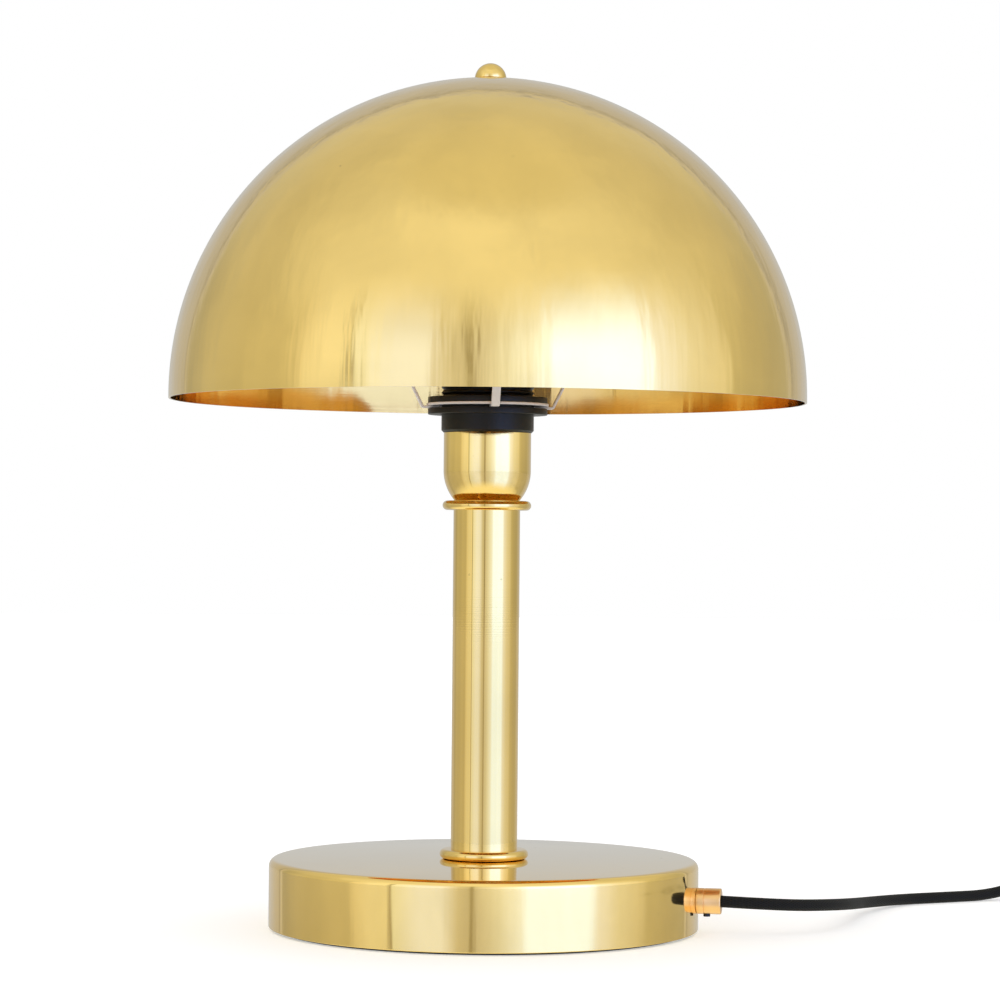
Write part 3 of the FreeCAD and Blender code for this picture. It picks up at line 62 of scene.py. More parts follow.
def foot(node):
    """Lowest level of a CAD node, in millimetres."""
    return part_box(node)[0].z / MM


def top(node):
    """Highest level of a CAD node, in millimetres."""
    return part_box(node)[1].z / MM


def reach(node):
    """Outer radius of a round CAD node on the lamp's axis, in millimetres."""
    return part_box(node)[1].x / MM


# ---------------- sizes and colours

class LampShape(bpy.types.PropertyGroup):
    """Sizes that the CAD part leaves to the finish of the pieces, in millimetres."""

    steps: IntProperty(
        name="Steps round", default=192, min=24, max=512,
        description="Number of flat faces round a turned piece")
    thread_pitch: FloatProperty(
        name="Holder thread", default=2.6, min=1.0, max=5.0,
        description="Pitch of the lampholder's outer thread, in millimetres")
    thread_depth: FloatProperty(
        name="Thread depth", default=0.9, min=0.1, max=1.5,
        description="Depth of the lampholder's outer thread, in millimetres")
    rim_round: FloatProperty(
        name="Shade rim", default=0.42, min=0.05, max=0.5,
        description="Rounding of the shade's rim, in millimetres")
    cord_steps: IntProperty(
        name="Cord smoothness", default=10, min=3, max=32,
        description="Steps between two points of the cord's line")


class LampColours(bpy.types.PropertyGroup):
    """Base colours of the lamp's finishes."""

    brass: FloatVectorProperty(
        name="Brass", subtype="COLOR", size=3, min=0, max=1,
        default=(0.90, 0.63, 0.22),
        description="Polished brass of the shade, stem and base")
    copper: FloatVectorProperty(
        name="Grip", subtype="COLOR", size=3, min=0, max=1,
        default=(0.92, 0.55, 0.23),
        description="Reddish brass of the cord grip")
    paint: FloatVectorProperty(
        name="Carrier", subtype="COLOR", size=3, min=0, max=1,
        default=(0.92, 0.88, 0.85),
        description="White paint of the shade carrier")
    moulding: FloatVectorProperty(
        name="Lampholder", subtype="COLOR", size=3, min=0, max=1,
        default=(0.007, 0.006, 0.006),
        description="Black moulding of the lampholder and its rings")
    cord: FloatVectorProperty(
        name="Cord", subtype="COLOR", size=3, min=0, max=1,
        default=(0.005, 0.005, 0.0055),
        description="Black textile braid of the cord")


class LampStage(bpy.types.PropertyGroup):
    """Camera and light."""

    lens: FloatProperty(
        name="Focal length", default=115.1, min=20, max=300,
        description="Focal length of the camera, in millimetres")
    distance: FloatProperty(
        name="Distance", default=1.508, min=0.5, max=5, unit="LENGTH",
        description="Camera in front of the lamp's axis")
    height: FloatProperty(
        name="Height", default=0.1834, min=0, max=2, unit="LENGTH",
        description="Camera above the floor")
    side: FloatProperty(
        name="Sideways", default=0.0, min=-1, max=1, unit="LENGTH",
        description="Camera to the right of the lamp's axis")
    clear_floor: FloatProperty(
        name="Floor in the metal", default=0.85, min=0, max=1,
        description="How far polished metal shows the room instead of the floor")
    room: FloatProperty(
        name="Room light", default=1.0, min=0, max=5,
        description="Strength of the light from all round")


# ---------------- modelling

def begin():
    """Object mode, with nothing selected."""
    if bpy.context.object and bpy.context.object.mode != "OBJECT":
        bpy.ops.object.mode_set(mode="OBJECT")
    bpy.ops.object.select_all(action="DESELECT")


def edit(mode="VERT"):
    """Edit mode, in which vertices, edges or faces are picked."""
    bpy.ops.object.mode_set(mode="EDIT")
    bpy.ops.mesh.select_mode(type=mode)


def face_outward():
    """Turns all faces of the edited piece outwards."""
    bpy.ops.mesh.select_all(action="SELECT")
    bpy.ops.mesh.normals_make_consistent(inside=False)


def smooth():
    """Smooths the active piece except at its sharp edges."""
    bpy.ops.object.shade_smooth_by_angle(angle=math.radians(35))


def done(name):
    """Leaves edit mode, names the piece and smooths it."""
    bpy.ops.object.mode_set(mode="OBJECT")
    piece = bpy.context.object
    piece.name = piece.data.name = name
    smooth()
    return piece


def use_modifier(piece, kind, **settings):
    """Adds a modifier with its settings and applies it."""
    bpy.context.view_layer.objects.active = piece
    modifier = piece.modifiers.new(kind.title(), kind)
    for key, value in settings.items():
        setattr(modifier, key, value)
    bpy.ops.object.modifier_apply(modifier=modifier.name)


def pick_vertex(place):
    """Selects only the vertex of the edited mesh at a place."""
    bpy.ops.mesh.select_all(action="DESELECT")
    bpy.ops.object.mode_set(mode="OBJECT")
    mesh = bpy.context.object.data
    nearest = min(mesh.vertices, key=lambda vertex: (vertex.co - place).length)
    nearest.select = True
    edit()


def draw(outline, at):
    """Draws an outline as edges and leaves it in edit mode.

    Its items are points, (x, y), points with a rounding, (x, y, radius), and arcs from the last point,
    ((x, y) of the centre, degrees, steps). at() turns x and y into a place.
    """
    begin()
    bpy.ops.mesh.primitive_circle_add(vertices=3, radius=MM)
    edit()
    bpy.ops.mesh.merge(type="CENTER")
    last = at(*outline[0][:2])
    bpy.ops.transform.translate(value=last)
    normal = (at(0, 1) - at(0, 0)).cross(at(1, 0) - at(0, 0)).normalized()
    corners = [last]
    for item in outline[1:]:
        if isinstance(item[0], tuple):
            centre, degrees, steps = item
            middle = at(*centre)
            bpy.ops.mesh.spin(steps=steps, angle=math.radians(degrees), center=middle, axis=normal)
            last = middle + Matrix.Rotation(math.radians(-degrees), 3, normal) @ (last - middle)
        else:
            place = at(*item[:2])
            bpy.ops.mesh.extrude_vertices_move(TRANSFORM_OT_translate={"value": place - last})
            last = place
        corners.append(last)
    for number, item in enumerate(outline):
        if len(item) < 3 or isinstance(item[0], tuple):
            continue
        here = corners[number]
        before = corners[number - 1] if number else corners[-2]
        after = corners[number + 1]
        turn = (here - before).angle(after - here)
        pick_vertex(here)
        bpy.ops.mesh.bevel(offset=item[2] * MM * math.tan(turn / 2), affect="VERTICES", clamp_overlap=False,
                           segments=max(3, round(turn / ROUNDING_STEP)))
    bpy.ops.mesh.select_all(action="SELECT")
    bpy.ops.mesh.remove_doubles(threshold=SAME_PLACE)


def turned(name, outline, steps=None, centre=(0, 0, 0), axis=(0, 0, 1)):
    """A piece turned about an axis. Its outline is given as radius and height, in millimetres."""
    steps = steps or bpy.context.scene.lamp_shape.steps
    axis, centre = Vector(axis).normalized(), Vector(centre) * MM
    side = Vector((1, 0, 0)) if abs(axis.z) > 0.9 else UP.cross(axis).normalized()
    draw(outline, lambda radius, height: centre + (side * radius + axis * height) * MM)
    bpy.ops.mesh.select_all(action="SELECT")
    bpy.ops.mesh.spin(steps=steps, angle=math.tau, center=centre, axis=axis, use_auto_merge=True)
    bpy.ops.mesh.select_all(action="SELECT")
    bpy.ops.mesh.remove_doubles(threshold=SAME_PLACE)
    bpy.ops.mesh.normals_make_consistent(inside=False)
    return done(name)


def closed(outline):
    """The outline with its first point again at the end."""
    return [*outline, outline[0][:2]]


def bevel_edges(piece, width, segments, sharpest):
    """Rounds a piece's edges that turn by more than an angle. Its width is in millimetres."""
    use_modifier(piece, "BEVEL", width=width * MM, segments=segments, limit_method="ANGLE",
                 angle_limit=math.radians(sharpest))
    smooth()


def disc(name, node, bore, lower_round, upper_round, steps=None):
    """A ring or washer as large as a CAD node, with its outer edges rounded."""
    low, high, wide = foot(node), top(node), reach(node)
    outline = [(bore, low), (wide, low, lower_round), (wide, high, upper_round), (bore, high)]
    return turned(name, closed(outline), steps)


def prism(name, outline, low, high, bevel, border, hollow, centre):
    """An upright block with a given plan, with a sunk panel above and below, and its level edges rounded."""
    panel_area = 20 * MM * MM
    middle = Vector((*centre, low))
    draw(closed(outline), lambda x, y: (middle + Vector((x, y, 0))) * MM)
    bpy.ops.mesh.edge_face_add()
    bpy.ops.mesh.extrude_region_move(TRANSFORM_OT_translate={"value": (0, 0, (high - low) * MM)})
    face_outward()
    for way in (1, -1):
        bpy.ops.mesh.select_mode(type="FACE")
        bpy.ops.mesh.select_all(action="DESELECT")
        bpy.ops.object.mode_set(mode="OBJECT")
        for face in bpy.context.object.data.polygons:
            face.select = face.normal.z * way > 0.9 and face.area > panel_area
        edit("FACE")
        bpy.ops.mesh.inset(thickness=border * MM, depth=0)
        bpy.ops.mesh.inset(thickness=hollow * MM, depth=-hollow * MM)
    piece = done(name)
    bevel_edges(piece, bevel, 3, 60)
    return piece


def dress(piece, body, slot, finish, *nodes):
    """Gives a piece its finish, its body and the CAD nodes that it stands for."""
    piece.data.materials.clear()
    piece.data.materials.append(finishes[finish])
    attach(piece, body)
    if nodes:
        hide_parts(*nodes)
    return piece


def hide_from_metal(*pieces):
    """Keeps pieces that lie beside the front view out of what the brass mirrors."""
    for piece in pieces:
        piece.visible_glossy = False


def coat(finish, *nodes):
    """Gives CAD nodes that keep their shape a finish."""
    for name in nodes:
        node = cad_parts[name]
        if not node.material_slots:
            node.data.materials.append(finishes[finish])
        for entry in node.material_slots:
            entry.material = finishes[finish]


# ---------------- shader expressions

class Link:
    """The output of a shader node. An expression on it adds Math nodes."""

    def __init__(self, nodes, socket):
        self.nodes, self.socket = nodes, socket

    def calculate(self, operation, *values):
        return self.nodes.add("Math", {"operation": operation}, dict(enumerate(values)))

    def __add__(self, other):
        return self.calculate("ADD", self, other)

    def __radd__(self, other):
        return self.calculate("ADD", other, self)

    def __sub__(self, other):
        return self.calculate("SUBTRACT", self, other)

    def __rsub__(self, other):
        return self.calculate("SUBTRACT", other, self)

    def __mul__(self, other):
        return self.calculate("MULTIPLY", self, other)

    def __truediv__(self, other):
        return self.calculate("DIVIDE", self, other)

    def __pow__(self, other):
        return self.calculate("POWER", self, other)

    def sine(self):
        return self.calculate("SINE", self)

    def absolute(self):
        return self.calculate("ABSOLUTE", self)

    def fraction(self):
        return self.calculate("FRACT", self)

    def rise(self, low, high, start=0.0, end=1.0):
        """A smooth step from start to end between two values."""
        return self.nodes.add("MapRange", {"interpolation_type": "SMOOTHSTEP"},
                              {0: self, 1: low, 2: high, 3: start, 4: end})


class Shader:
    """The node tree of one material, or of the world."""

    def __init__(self, owner, result):
        self.owner = owner
        owner.use_nodes = True
        self.tree = owner.node_tree
        self.tree.nodes.clear()
        self.result = self.tree.nodes.new("ShaderNodeOutput" + result)

    def add(self, kind, settings=None, inputs=None, output=0):
        """A node with its settings first, then the values or links of its sockets."""
        node = self.tree.nodes.new("ShaderNode" + kind)
        for key, value in (settings or {}).items():
            if key == "stops":
                self.set_stops(node.color_ramp, value)
            else:
                setattr(node, key, value)
        for key, value in (inputs or {}).items():
            if isinstance(value, Link):
                self.tree.links.new(value.socket, node.inputs[key])
            else:
                node.inputs[key].default_value = value
        return Link(self, node.outputs[output])

    @staticmethod
    def set_stops(ramp, stops):
        """Places a ramp's stops, each a position and a grey or a colour."""
        while len(ramp.elements) > 1:
            ramp.elements.remove(ramp.elements[-1])
        for number, (position, colour) in enumerate(stops):
            element = ramp.elements.new(position) if number else ramp.elements[0]
            element.position = position
            element.color = (*colour, 1) if isinstance(colour, tuple) else (colour, colour, colour, 1)

    def finish(self, surface):
        """Uses a surface and returns what the shader belongs to."""
        self.tree.links.new(surface.socket, self.result.inputs["Surface"])
        return self.owner

    def coated(self, **sockets):
        """Uses the main shader alone and returns the material."""
        return self.finish(self.gloss(**sockets))

    def place(self, uv=False):
        """Object coordinates, in metres, or the piece's own UV map."""
        return self.add("TexCoord", output="UV" if uv else "Object")

    def seen(self, ray):
        """1 for rays from the camera or off a glossy face, else 0."""
        return self.add("LightPath", output=f"Is {ray} Ray")

    def split(self, vector):
        """The three parts of a vector."""
        node = self.add("SeparateXYZ", inputs={0: vector}).socket.node
        return [Link(self, socket) for socket in node.outputs]

    def join(self, x, y, z):
        """A vector of three parts."""
        return self.add("CombineXYZ", inputs={0: x, 1: y, 2: z})

    def noise(self, vector, scale, detail=3.0, roughness=0.5, distortion=0.0):
        """Soft clouds between 0 and 1."""
        return self.add("TexNoise", inputs={"Vector": vector, "Scale": scale, "Detail": detail,
                                            "Roughness": roughness, "Distortion": distortion})

    def cells(self, vector, scale):
        """The distance from the middle of scattered cells."""
        return self.add("TexVoronoi", inputs={"Vector": vector, "Scale": scale})

    def mix(self, factor, first, second):
        """A colour between two."""
        sides = [(*side, 1) if isinstance(side, tuple) else side for side in (first, second)]
        return self.add("Mix", {"data_type": "RGBA"}, {0: factor, 6: sides[0], 7: sides[1]}, output=2)

    def varied(self, colour, factor, darker, lighter):
        """A colour that changes between a darker and a lighter version of it."""
        return self.mix(factor, scaled(colour, darker), scaled(colour, lighter))

    def dim(self, colour, strength):
        """A colour times a strength."""
        return self.add("VectorMath", {"operation": "SCALE"}, {0: colour, "Scale": strength})

    def bump(self, height, distance, strength=1.0, normal=None):
        """A normal that follows a height, on top of another normal if there is one."""
        inputs = {"Height": height, "Distance": distance, "Strength": strength}
        if normal:
            inputs["Normal"] = normal
        return self.add("Bump", inputs=inputs)

    def gloss(self, **sockets):
        """The main shader. Socket names are written with _ for spaces."""
        inputs = {name.replace("_", " "): value for name, value in sockets.items()}
        return self.add("BsdfPrincipled", inputs=inputs)


def new_finish(name):
    """The empty node tree of a new material."""
    return Shader(bpy.data.materials.new(name), "Material")


def scaled(colour, factor):
    """A colour made darker or lighter."""
    return tuple(min(part * factor, 1) for part in colour)


# ---------------- finishes

LEAN = 0.035  # depth of the bump that leans the inside of the shade's rim
WARM_SHEEN = (1.0, 0.92, 0.74, 1.0)


def brass_finish(name, colour, gloss, lines, ball=None, inside=None, top_face=None, tarnish=0.25, waves=0.0,
                 lacquer=0.3):
    """Lacquered brass with fine polishing lines round the piece, soft cloudiness and small pits.

    ball is the level of a ball's middle and its radius, and inside the colour of its hollow side: bare metal,
    painted darker and more orange as the shade of the hollow.
    """
    shader = new_finish(name)
    place = shader.place()
    x, y, z = shader.split(place)
    radius = ((x * x) + (y * y)) ** 0.5
    if ball:  # the lines follow the ball's parallels
        middle, size = ball
        level = shader.add("Math", {"operation": "ARCTAN2"}, {0: z - middle, 1: radius}) * size
    else:
        level = z + radius * 0.6
    round_lines = shader.noise(shader.join(x * 5, y * 5, level * 900), 1.0, 5.0, 0.65)
    wide_lines = shader.noise(shader.join(x * 4, y * 4, level * 130), 1.0, 3.0, 0.55)
    clouds = shader.noise(place, 14.0, 4.0, 0.6, 0.4)
    pitted = shader.noise(place, 21.0, 2.0).rise(0.62, 0.66)
    pits = shader.cells(place, 130.0).rise(0.05, 0.10, 1.0, 0.0) * pitted
    shade = shader.varied(colour, clouds.rise(0.3, 0.7), 0.95, 1.03)
    if inside:  # bare metal on the hollow side of the ball, its colour painted darker and more orange as the shade of the hollow
        away = z - middle
        hollow = ((radius * radius) + (away * away)) ** 0.5
        bare_and_shaded_side = hollow.rise(size - 0.0007, size - 0.0004, 1.0, 0.0)
        shade = shader.mix(bare_and_shaded_side, shade, inside)
        lacquer = (1 - bare_and_shaded_side) * lacquer
    if top_face:  # the thick lacquer that has run out flat on a level top
        lacquer = z.rise(top_face - 0.0008, top_face - 0.0001, lacquer, 1.0)
    shade = shader.mix(pits * 0.55, shade, (0.10, 0.055, 0.02))
    dulled = clouds.rise(0.45, 0.8) * tarnish * lines * 2
    roughness = gloss + wide_lines.rise(0.35, 0.75) * lines + dulled + pits * 0.25
    normal = shader.bump(round_lines * 0.6 + wide_lines * 0.4 - pits * 1.5, 0.00001)
    if waves:  # the slow unevenness of spun sheet, drawn out from rim to crown
        slow = shader.noise(shader.join(x * 42, y * 42, z * 7), 1.0, 2.0, 0.5, 0.3)
        streaks = shader.noise(shader.join(x * 190, y * 190, z * 9), 1.0, 2.0, 0.5)
        broad = shader.noise(place, 9.0, 2.0, 0.5)
        normal = shader.bump(slow * 0.4 + streaks * 0.1 + broad, waves, normal=normal)
    if inside:  # the sheet leans in a little inside its rim, more on one side than on the other
        dent = x.rise(-0.070, -0.056) * x.rise(-0.02, 0.085, 1.0, 0.0)
        normal = shader.bump(away * dent * bare_and_shaded_side, LEAN, normal=normal)
    return shader.coated(Base_Color=shade, Metallic=1.0, Roughness=roughness, Normal=normal,
                         Coat_Weight=lacquer, Coat_Roughness=0.02)


def metal_finish(name, colour, gloss, spots):
    """Plated or bare metal with fine grain, brighter and duller patches."""
    shader = new_finish(name)
    place = shader.place()
    fine = shader.noise(place, 420.0, 4.0, 0.6)
    patches = shader.noise(place, 38.0, 4.0, 0.6, 0.5)
    shade = shader.varied(colour, patches.rise(0.3, 0.7), 1 - spots, 1.08)
    roughness = gloss + fine.rise(0.35, 0.7) * 0.12 + patches.rise(0.4, 0.75) * 0.1
    return shader.coated(Base_Color=shade, Metallic=1.0, Roughness=roughness,
                         Normal=shader.bump(fine, 0.00005, 0.35))


def plastic_finish(name, colour, gloss, grain=900.0, depth=0.00004, strength=0.3, shine=0.5):
    """Moulded plastic or rubber with a fine grain and a little variation of its colour."""
    shader = new_finish(name)
    place = shader.place()
    fine = shader.noise(place, grain, 3.0, 0.55)
    broad = shader.noise(place, 24.0, 3.0, 0.5)
    shade = shader.varied(colour, broad.rise(0.25, 0.75), 0.86, 1.14)
    roughness = gloss + fine.rise(0.3, 0.7) * 0.08 + broad.rise(0.4, 0.8) * 0.08
    return shader.coated(Base_Color=shade, Roughness=roughness, Specular_IOR_Level=shine,
                         Specular_Tint=WARM_SHEEN, Normal=shader.bump(fine, depth, strength))


def paint_finish(name, colour):
    """White stove paint on the carrier, slightly uneven, with a few chips."""
    shader = new_finish(name)
    place = shader.place()
    peel = shader.noise(place, 260.0, 2.0, 0.5)
    broad = shader.noise(place, 30.0, 3.0, 0.55)
    chipped = shader.noise(place, 55.0, 2.0).rise(0.64, 0.68)
    chips = shader.cells(place, 210.0).rise(0.06, 0.12, 1.0, 0.0) * chipped
    shade = shader.varied(colour, broad.rise(0.3, 0.7), 0.92, 1.06)
    shade = shader.mix(chips * 0.8, shade, (0.35, 0.33, 0.31))
    return shader.coated(Base_Color=shade, Roughness=0.28 + broad * 0.12,
                         Normal=shader.bump(peel - chips, 0.00006, 0.3))


def ceramic_finish(name):
    """Glazed white porcelain with fine specks."""
    shader = new_finish(name)
    place = shader.place()
    broad = shader.noise(place, 60.0)
    specks = shader.cells(place, 700.0).rise(0.08, 0.14, 1.0, 0.0) * shader.noise(place, 90.0).rise(0.55, 0.6)
    shade = shader.mix(broad.rise(0.3, 0.7), (0.78, 0.76, 0.70), (0.86, 0.85, 0.81))
    shade = shader.mix(specks * 0.6, shade, (0.28, 0.22, 0.16))
    return shader.coated(Base_Color=shade, Roughness=0.16 + broad * 0.1, Coat_Weight=0.4,
                         Normal=shader.bump(broad, 0.0002, 0.15))


def iron_finish(name):
    """Cast iron with a rough skin and rust in its hollows."""
    shader = new_finish(name)
    place = shader.place()
    skin = shader.noise(place, 330.0, 6.0, 0.7)
    rust = shader.noise(place, 46.0, 5.0, 0.65, 0.3).rise(0.52, 0.68)
    shade = shader.mix(skin.rise(0.3, 0.7), (0.055, 0.052, 0.05), (0.13, 0.125, 0.12))
    shade = shader.mix(rust * 0.7, shade, (0.19, 0.075, 0.03))
    return shader.coated(Base_Color=shade, Metallic=0.7 - rust * 0.6, Roughness=0.6 + rust * 0.25,
                         Normal=shader.bump(skin, 0.0006, 0.6))


def felt_finish(name, colour):
    """Pressed felt or fibre, with fine tangled hairs."""
    shader = new_finish(name)
    place = shader.place()
    hairs = shader.noise(place, 1500.0, 6.0, 0.75, 1.2)
    tufts = shader.noise(place, 260.0, 4.0, 0.6)
    shade = shader.varied(colour, hairs.rise(0.3, 0.7), 0.6, 1.5)
    return shader.coated(Base_Color=shade, Roughness=0.95, Sheen_Weight=0.35,
                         Normal=shader.bump(hairs * 0.6 + tufts * 0.4, 0.0006, 0.7))


def glass_finish(name):
    """Opal glass: white and softly lit through, with a smooth skin."""
    shader = new_finish(name)
    clouds = shader.noise(shader.place(), 40.0)
    shade = shader.mix(clouds.rise(0.3, 0.7), (0.82, 0.81, 0.78), (0.88, 0.87, 0.85))
    return shader.coated(Base_Color=shade, Roughness=0.12 + clouds * 0.05, Subsurface_Weight=0.2,
                         Subsurface_Scale=0.004, Coat_Weight=0.3, Normal=shader.bump(clouds, 0.0002, 0.1))


def braid_finish(name, colour, length):
    """Textile braid of a cord: two sets of yarns that cross, from the curve's own UV map."""
    around, lay = 16, 0.0056
    shader = new_finish(name)
    u, v, _ = shader.split(shader.place(uv=True))
    along = u * (length / lay)
    one = (((v * around) + along * around / 8).fraction() - 0.5).absolute() * 2
    other = (((v * around) - along * around / 8).fraction() - 0.5).absolute() * 2
    over = (along * (around / 8) * math.tau).sine() * (v * around * math.tau).sine()
    weave = over.rise(-0.25, 0.25)
    yarn = (1 - one) * weave + (1 - other) * (1 - weave)
    fibre = shader.noise(shader.place(), 2600.0, 4.0, 0.7)
    worn = shader.noise(shader.place(), 35.0)
    shade = shader.varied(colour, yarn.rise(0.1, 0.8) * 0.75 + fibre * 0.25, 0.45, 1.9)
    shade = shader.mix(worn.rise(0.45, 0.8) * 0.25, shade, (0.012, 0.012, 0.013))
    return shader.coated(Base_Color=shade, Roughness=0.78 - yarn * 0.12, Specular_IOR_Level=0.2,
                         Specular_Tint=WARM_SHEEN, Sheen_Weight=0.02,
                         Normal=shader.bump(yarn * 0.8 + fibre * 0.2, 0.00035, 0.7))


finishes = {}


def make_finishes():
    """All finishes, under short names."""
    colours = bpy.context.scene.lamp_colours
    names = ("brass", "copper", "paint", "moulding", "cord")
    brass, copper, paint, moulding, cord = (tuple(getattr(colours, name)) for name in names)
    crown = top("shade") * MM
    rim = reach("shade") * MM
    finishes.update({
        # the hollow side's colour is bare metal painted darker and more orange, painted shade of the hollow
        "shade brass": brass_finish("spun_brass", brass, gloss=0.08, lines=0.06, ball=(crown - rim, rim),
                                    inside=(0.84, 0.53, 0.16), tarnish=0.6, waves=0.0014, lacquer=0.6),
        "brass": brass_finish("polished_brass", brass, gloss=0.02, lines=0.02, waves=0.0002),
        # the base wears a lighter copy of the same brass: painted light for its brighter look
        "base brass": brass_finish("base_brass", scaled(brass, 1.08), gloss=0.03, lines=0.04, tarnish=0.5,
                                   waves=0.0004, top_face=top("base_cover") * MM),
        "copper": brass_finish("red_brass", copper, gloss=0.22, lines=0.12),
        "plain brass": metal_finish("plain_brass", (0.80, 0.58, 0.27), gloss=0.3, spots=0.22),
        "zinc": metal_finish("zinc_plating", (0.56, 0.55, 0.49), gloss=0.34, spots=0.25),
        "dark steel": metal_finish("black_steel", (0.05, 0.05, 0.052), gloss=0.38, spots=0.3),
        "nickel": metal_finish("nickel_plating", (0.66, 0.63, 0.53), gloss=0.16, spots=0.12),
        "cap metal": metal_finish("bulb_metal", (0.72, 0.70, 0.61), gloss=0.25, spots=0.18),
        "paint": paint_finish("white_paint", paint),
        "moulding": plastic_finish("black_moulding", moulding, gloss=0.32, grain=700.0, depth=0.00005,
                                   strength=0.35, shine=0.38),
        "plastic": plastic_finish("black_plastic", (0.016, 0.016, 0.017), gloss=0.42, grain=1500.0,
                                  depth=0.00006, strength=0.5, shine=0.4),
        "rocker plastic": plastic_finish("rocker_plastic", (0.020, 0.020, 0.021), gloss=0.24, depth=0.00003,
                                         strength=0.2),
        "lead": plastic_finish("lead_sheath", (0.016, 0.016, 0.017), gloss=0.45, grain=1200.0, depth=0.00005,
                               strength=0.4, shine=0.4),
        "insulator": plastic_finish("black_glass", (0.012, 0.012, 0.015), gloss=0.1, grain=300.0,
                                    depth=0.00002, strength=0.2),
        "live": plastic_finish("brown_insulation", (0.16, 0.07, 0.03), gloss=0.36),
        "neutral": plastic_finish("blue_insulation", (0.03, 0.12, 0.42), gloss=0.36),
        "ceramic": ceramic_finish("glazed_ceramic"),
        "iron": iron_finish("cast_iron"),
        "felt": felt_finish("dark_felt", (0.020, 0.020, 0.021)),
        "fibre": felt_finish("pressed_fibre", (0.30, 0.20, 0.12)),
        "glass": glass_finish("opal_glass"),
        "braid to switch": braid_finish("braid_to_switch", cord, length=0.28),
        "braid to plug": braid_finish("braid_to_plug", cord, length=1.33),
        "tie": plastic_finish("tie_rubber", (0.018, 0.018, 0.018), gloss=0.5, grain=1200.0, depth=0.00008,
                              strength=0.5),
    })


# ---------------- pieces

class LAMP_OT_shade(bpy.types.Operator):
    """Half-ball shade, its washer and the finial that holds it"""

    bl_idname = "lamp.shade"
    bl_label = "Shade and finial"

    def execute(self, context):
        outer, rim, crown = reach("shade"), foot("shade"), top("shade")
        wall, hole = 1.0, 3.4
        inner = outer - wall
        centre = crown - outer
        # where each ball starts at the rim and ends at the hole, in degrees
        outer_rim, inner_rim = (math.degrees(math.asin((rim - centre) / ball)) for ball in (outer, inner))
        outer_hole, inner_hole = (math.degrees(math.acos(hole / ball)) for ball in (outer, inner))
        start = (outer * math.cos(math.radians(outer_rim)), rim)
        shade = turned("shade_dome", [
            (*start, context.scene.lamp_shape.rim_round),
            ((0, centre), outer_hole - outer_rim, 72),
            (hole, centre + inner * math.sin(math.radians(inner_hole))),
            ((0, centre), inner_rim - inner_hole, 72),
            start,
        ], steps=256)
        dress(shade, "shade", "polished_brass", "shade brass", "shade")

        washer = disc("finial_washer", "shade_washer", hole, 0.15, 0.2, steps=96)
        dress(washer, "finial_washer", "polished_brass", "brass", "shade_washer")
        coat("fibre", "shade_seat")

        low, wide, bore = foot("finial"), reach("finial"), 3.1
        knob = turned("finial_knob", closed([
            (bore, low), (wide, low, 0.3), ((0, low), 90, 28),
            (0, low + wide - 1.1), (bore, low + wide - 3.2),
        ]), steps=128)
        dress(knob, "finial", "polished_brass", "brass", "finial")
        return {"FINISHED"}


class LAMP_OT_carrier(bpy.types.Operator):
    """White carrier: a ring, four bent arms and the plate on top"""

    bl_idname = "lamp.carrier"
    bl_label = "Shade carrier"

    def execute(self, context):
        thick, width, ring_bore, hub_bore = 1.2, 4.0, 22.5, 3.2
        out, bend = 46.0, 38.0  # how far the arms stand out, and the radius of their upper bend
        first_arm = 6.6  # degrees that the front arm stands to the right
        level = foot("carrier_arm_1") + thick / 2
        crown = top("carrier_arm_1") - thick / 2
        draw([
            (ring_bore, level), (30.9, level, 0.9), (out, level + 30.6, 9.0), (out, crown - bend),
            ((out - bend, crown - bend), 90, 24), (4.6, crown),
        ], lambda x, z: Vector((x, -width / 2, z)) * MM)
        bpy.ops.mesh.extrude_region_move(TRANSFORM_OT_translate={"value": (0, width * MM, 0)})
        face_outward()
        arm = done("carrier_strip")
        use_modifier(arm, "SOLIDIFY", thickness=thick * MM, offset=0.0)
        bevel_edges(arm, 0.28, 2, 40)
        for number in range(1, 5):
            begin()
            arm.select_set(True)
            context.view_layer.objects.active = arm
            bpy.ops.object.duplicate()
            copy = context.object
            copy.name = copy.data.name = f"carrier_strip_{number}"
            copy.rotation_euler.z = math.radians(first_arm + 90 * (number - 1))
            bpy.ops.object.transform_apply(rotation=True)
            dress(copy, "root", "white_paint", "paint", f"carrier_arm_{number}")
        bpy.data.objects.remove(arm)

        ring = disc("carrier_band", "carrier_ring", ring_bore, 0.3, 0.3)
        dress(ring, "root", "white_paint", "paint", "carrier_ring")
        hub = disc("carrier_plate", "carrier_hub", hub_bore, 0.3, 0.3, steps=96)
        dress(hub, "root", "white_paint", "paint", "carrier_hub")
        coat("zinc", "carrier_nut", "carrier_stud")
        return {"FINISHED"}


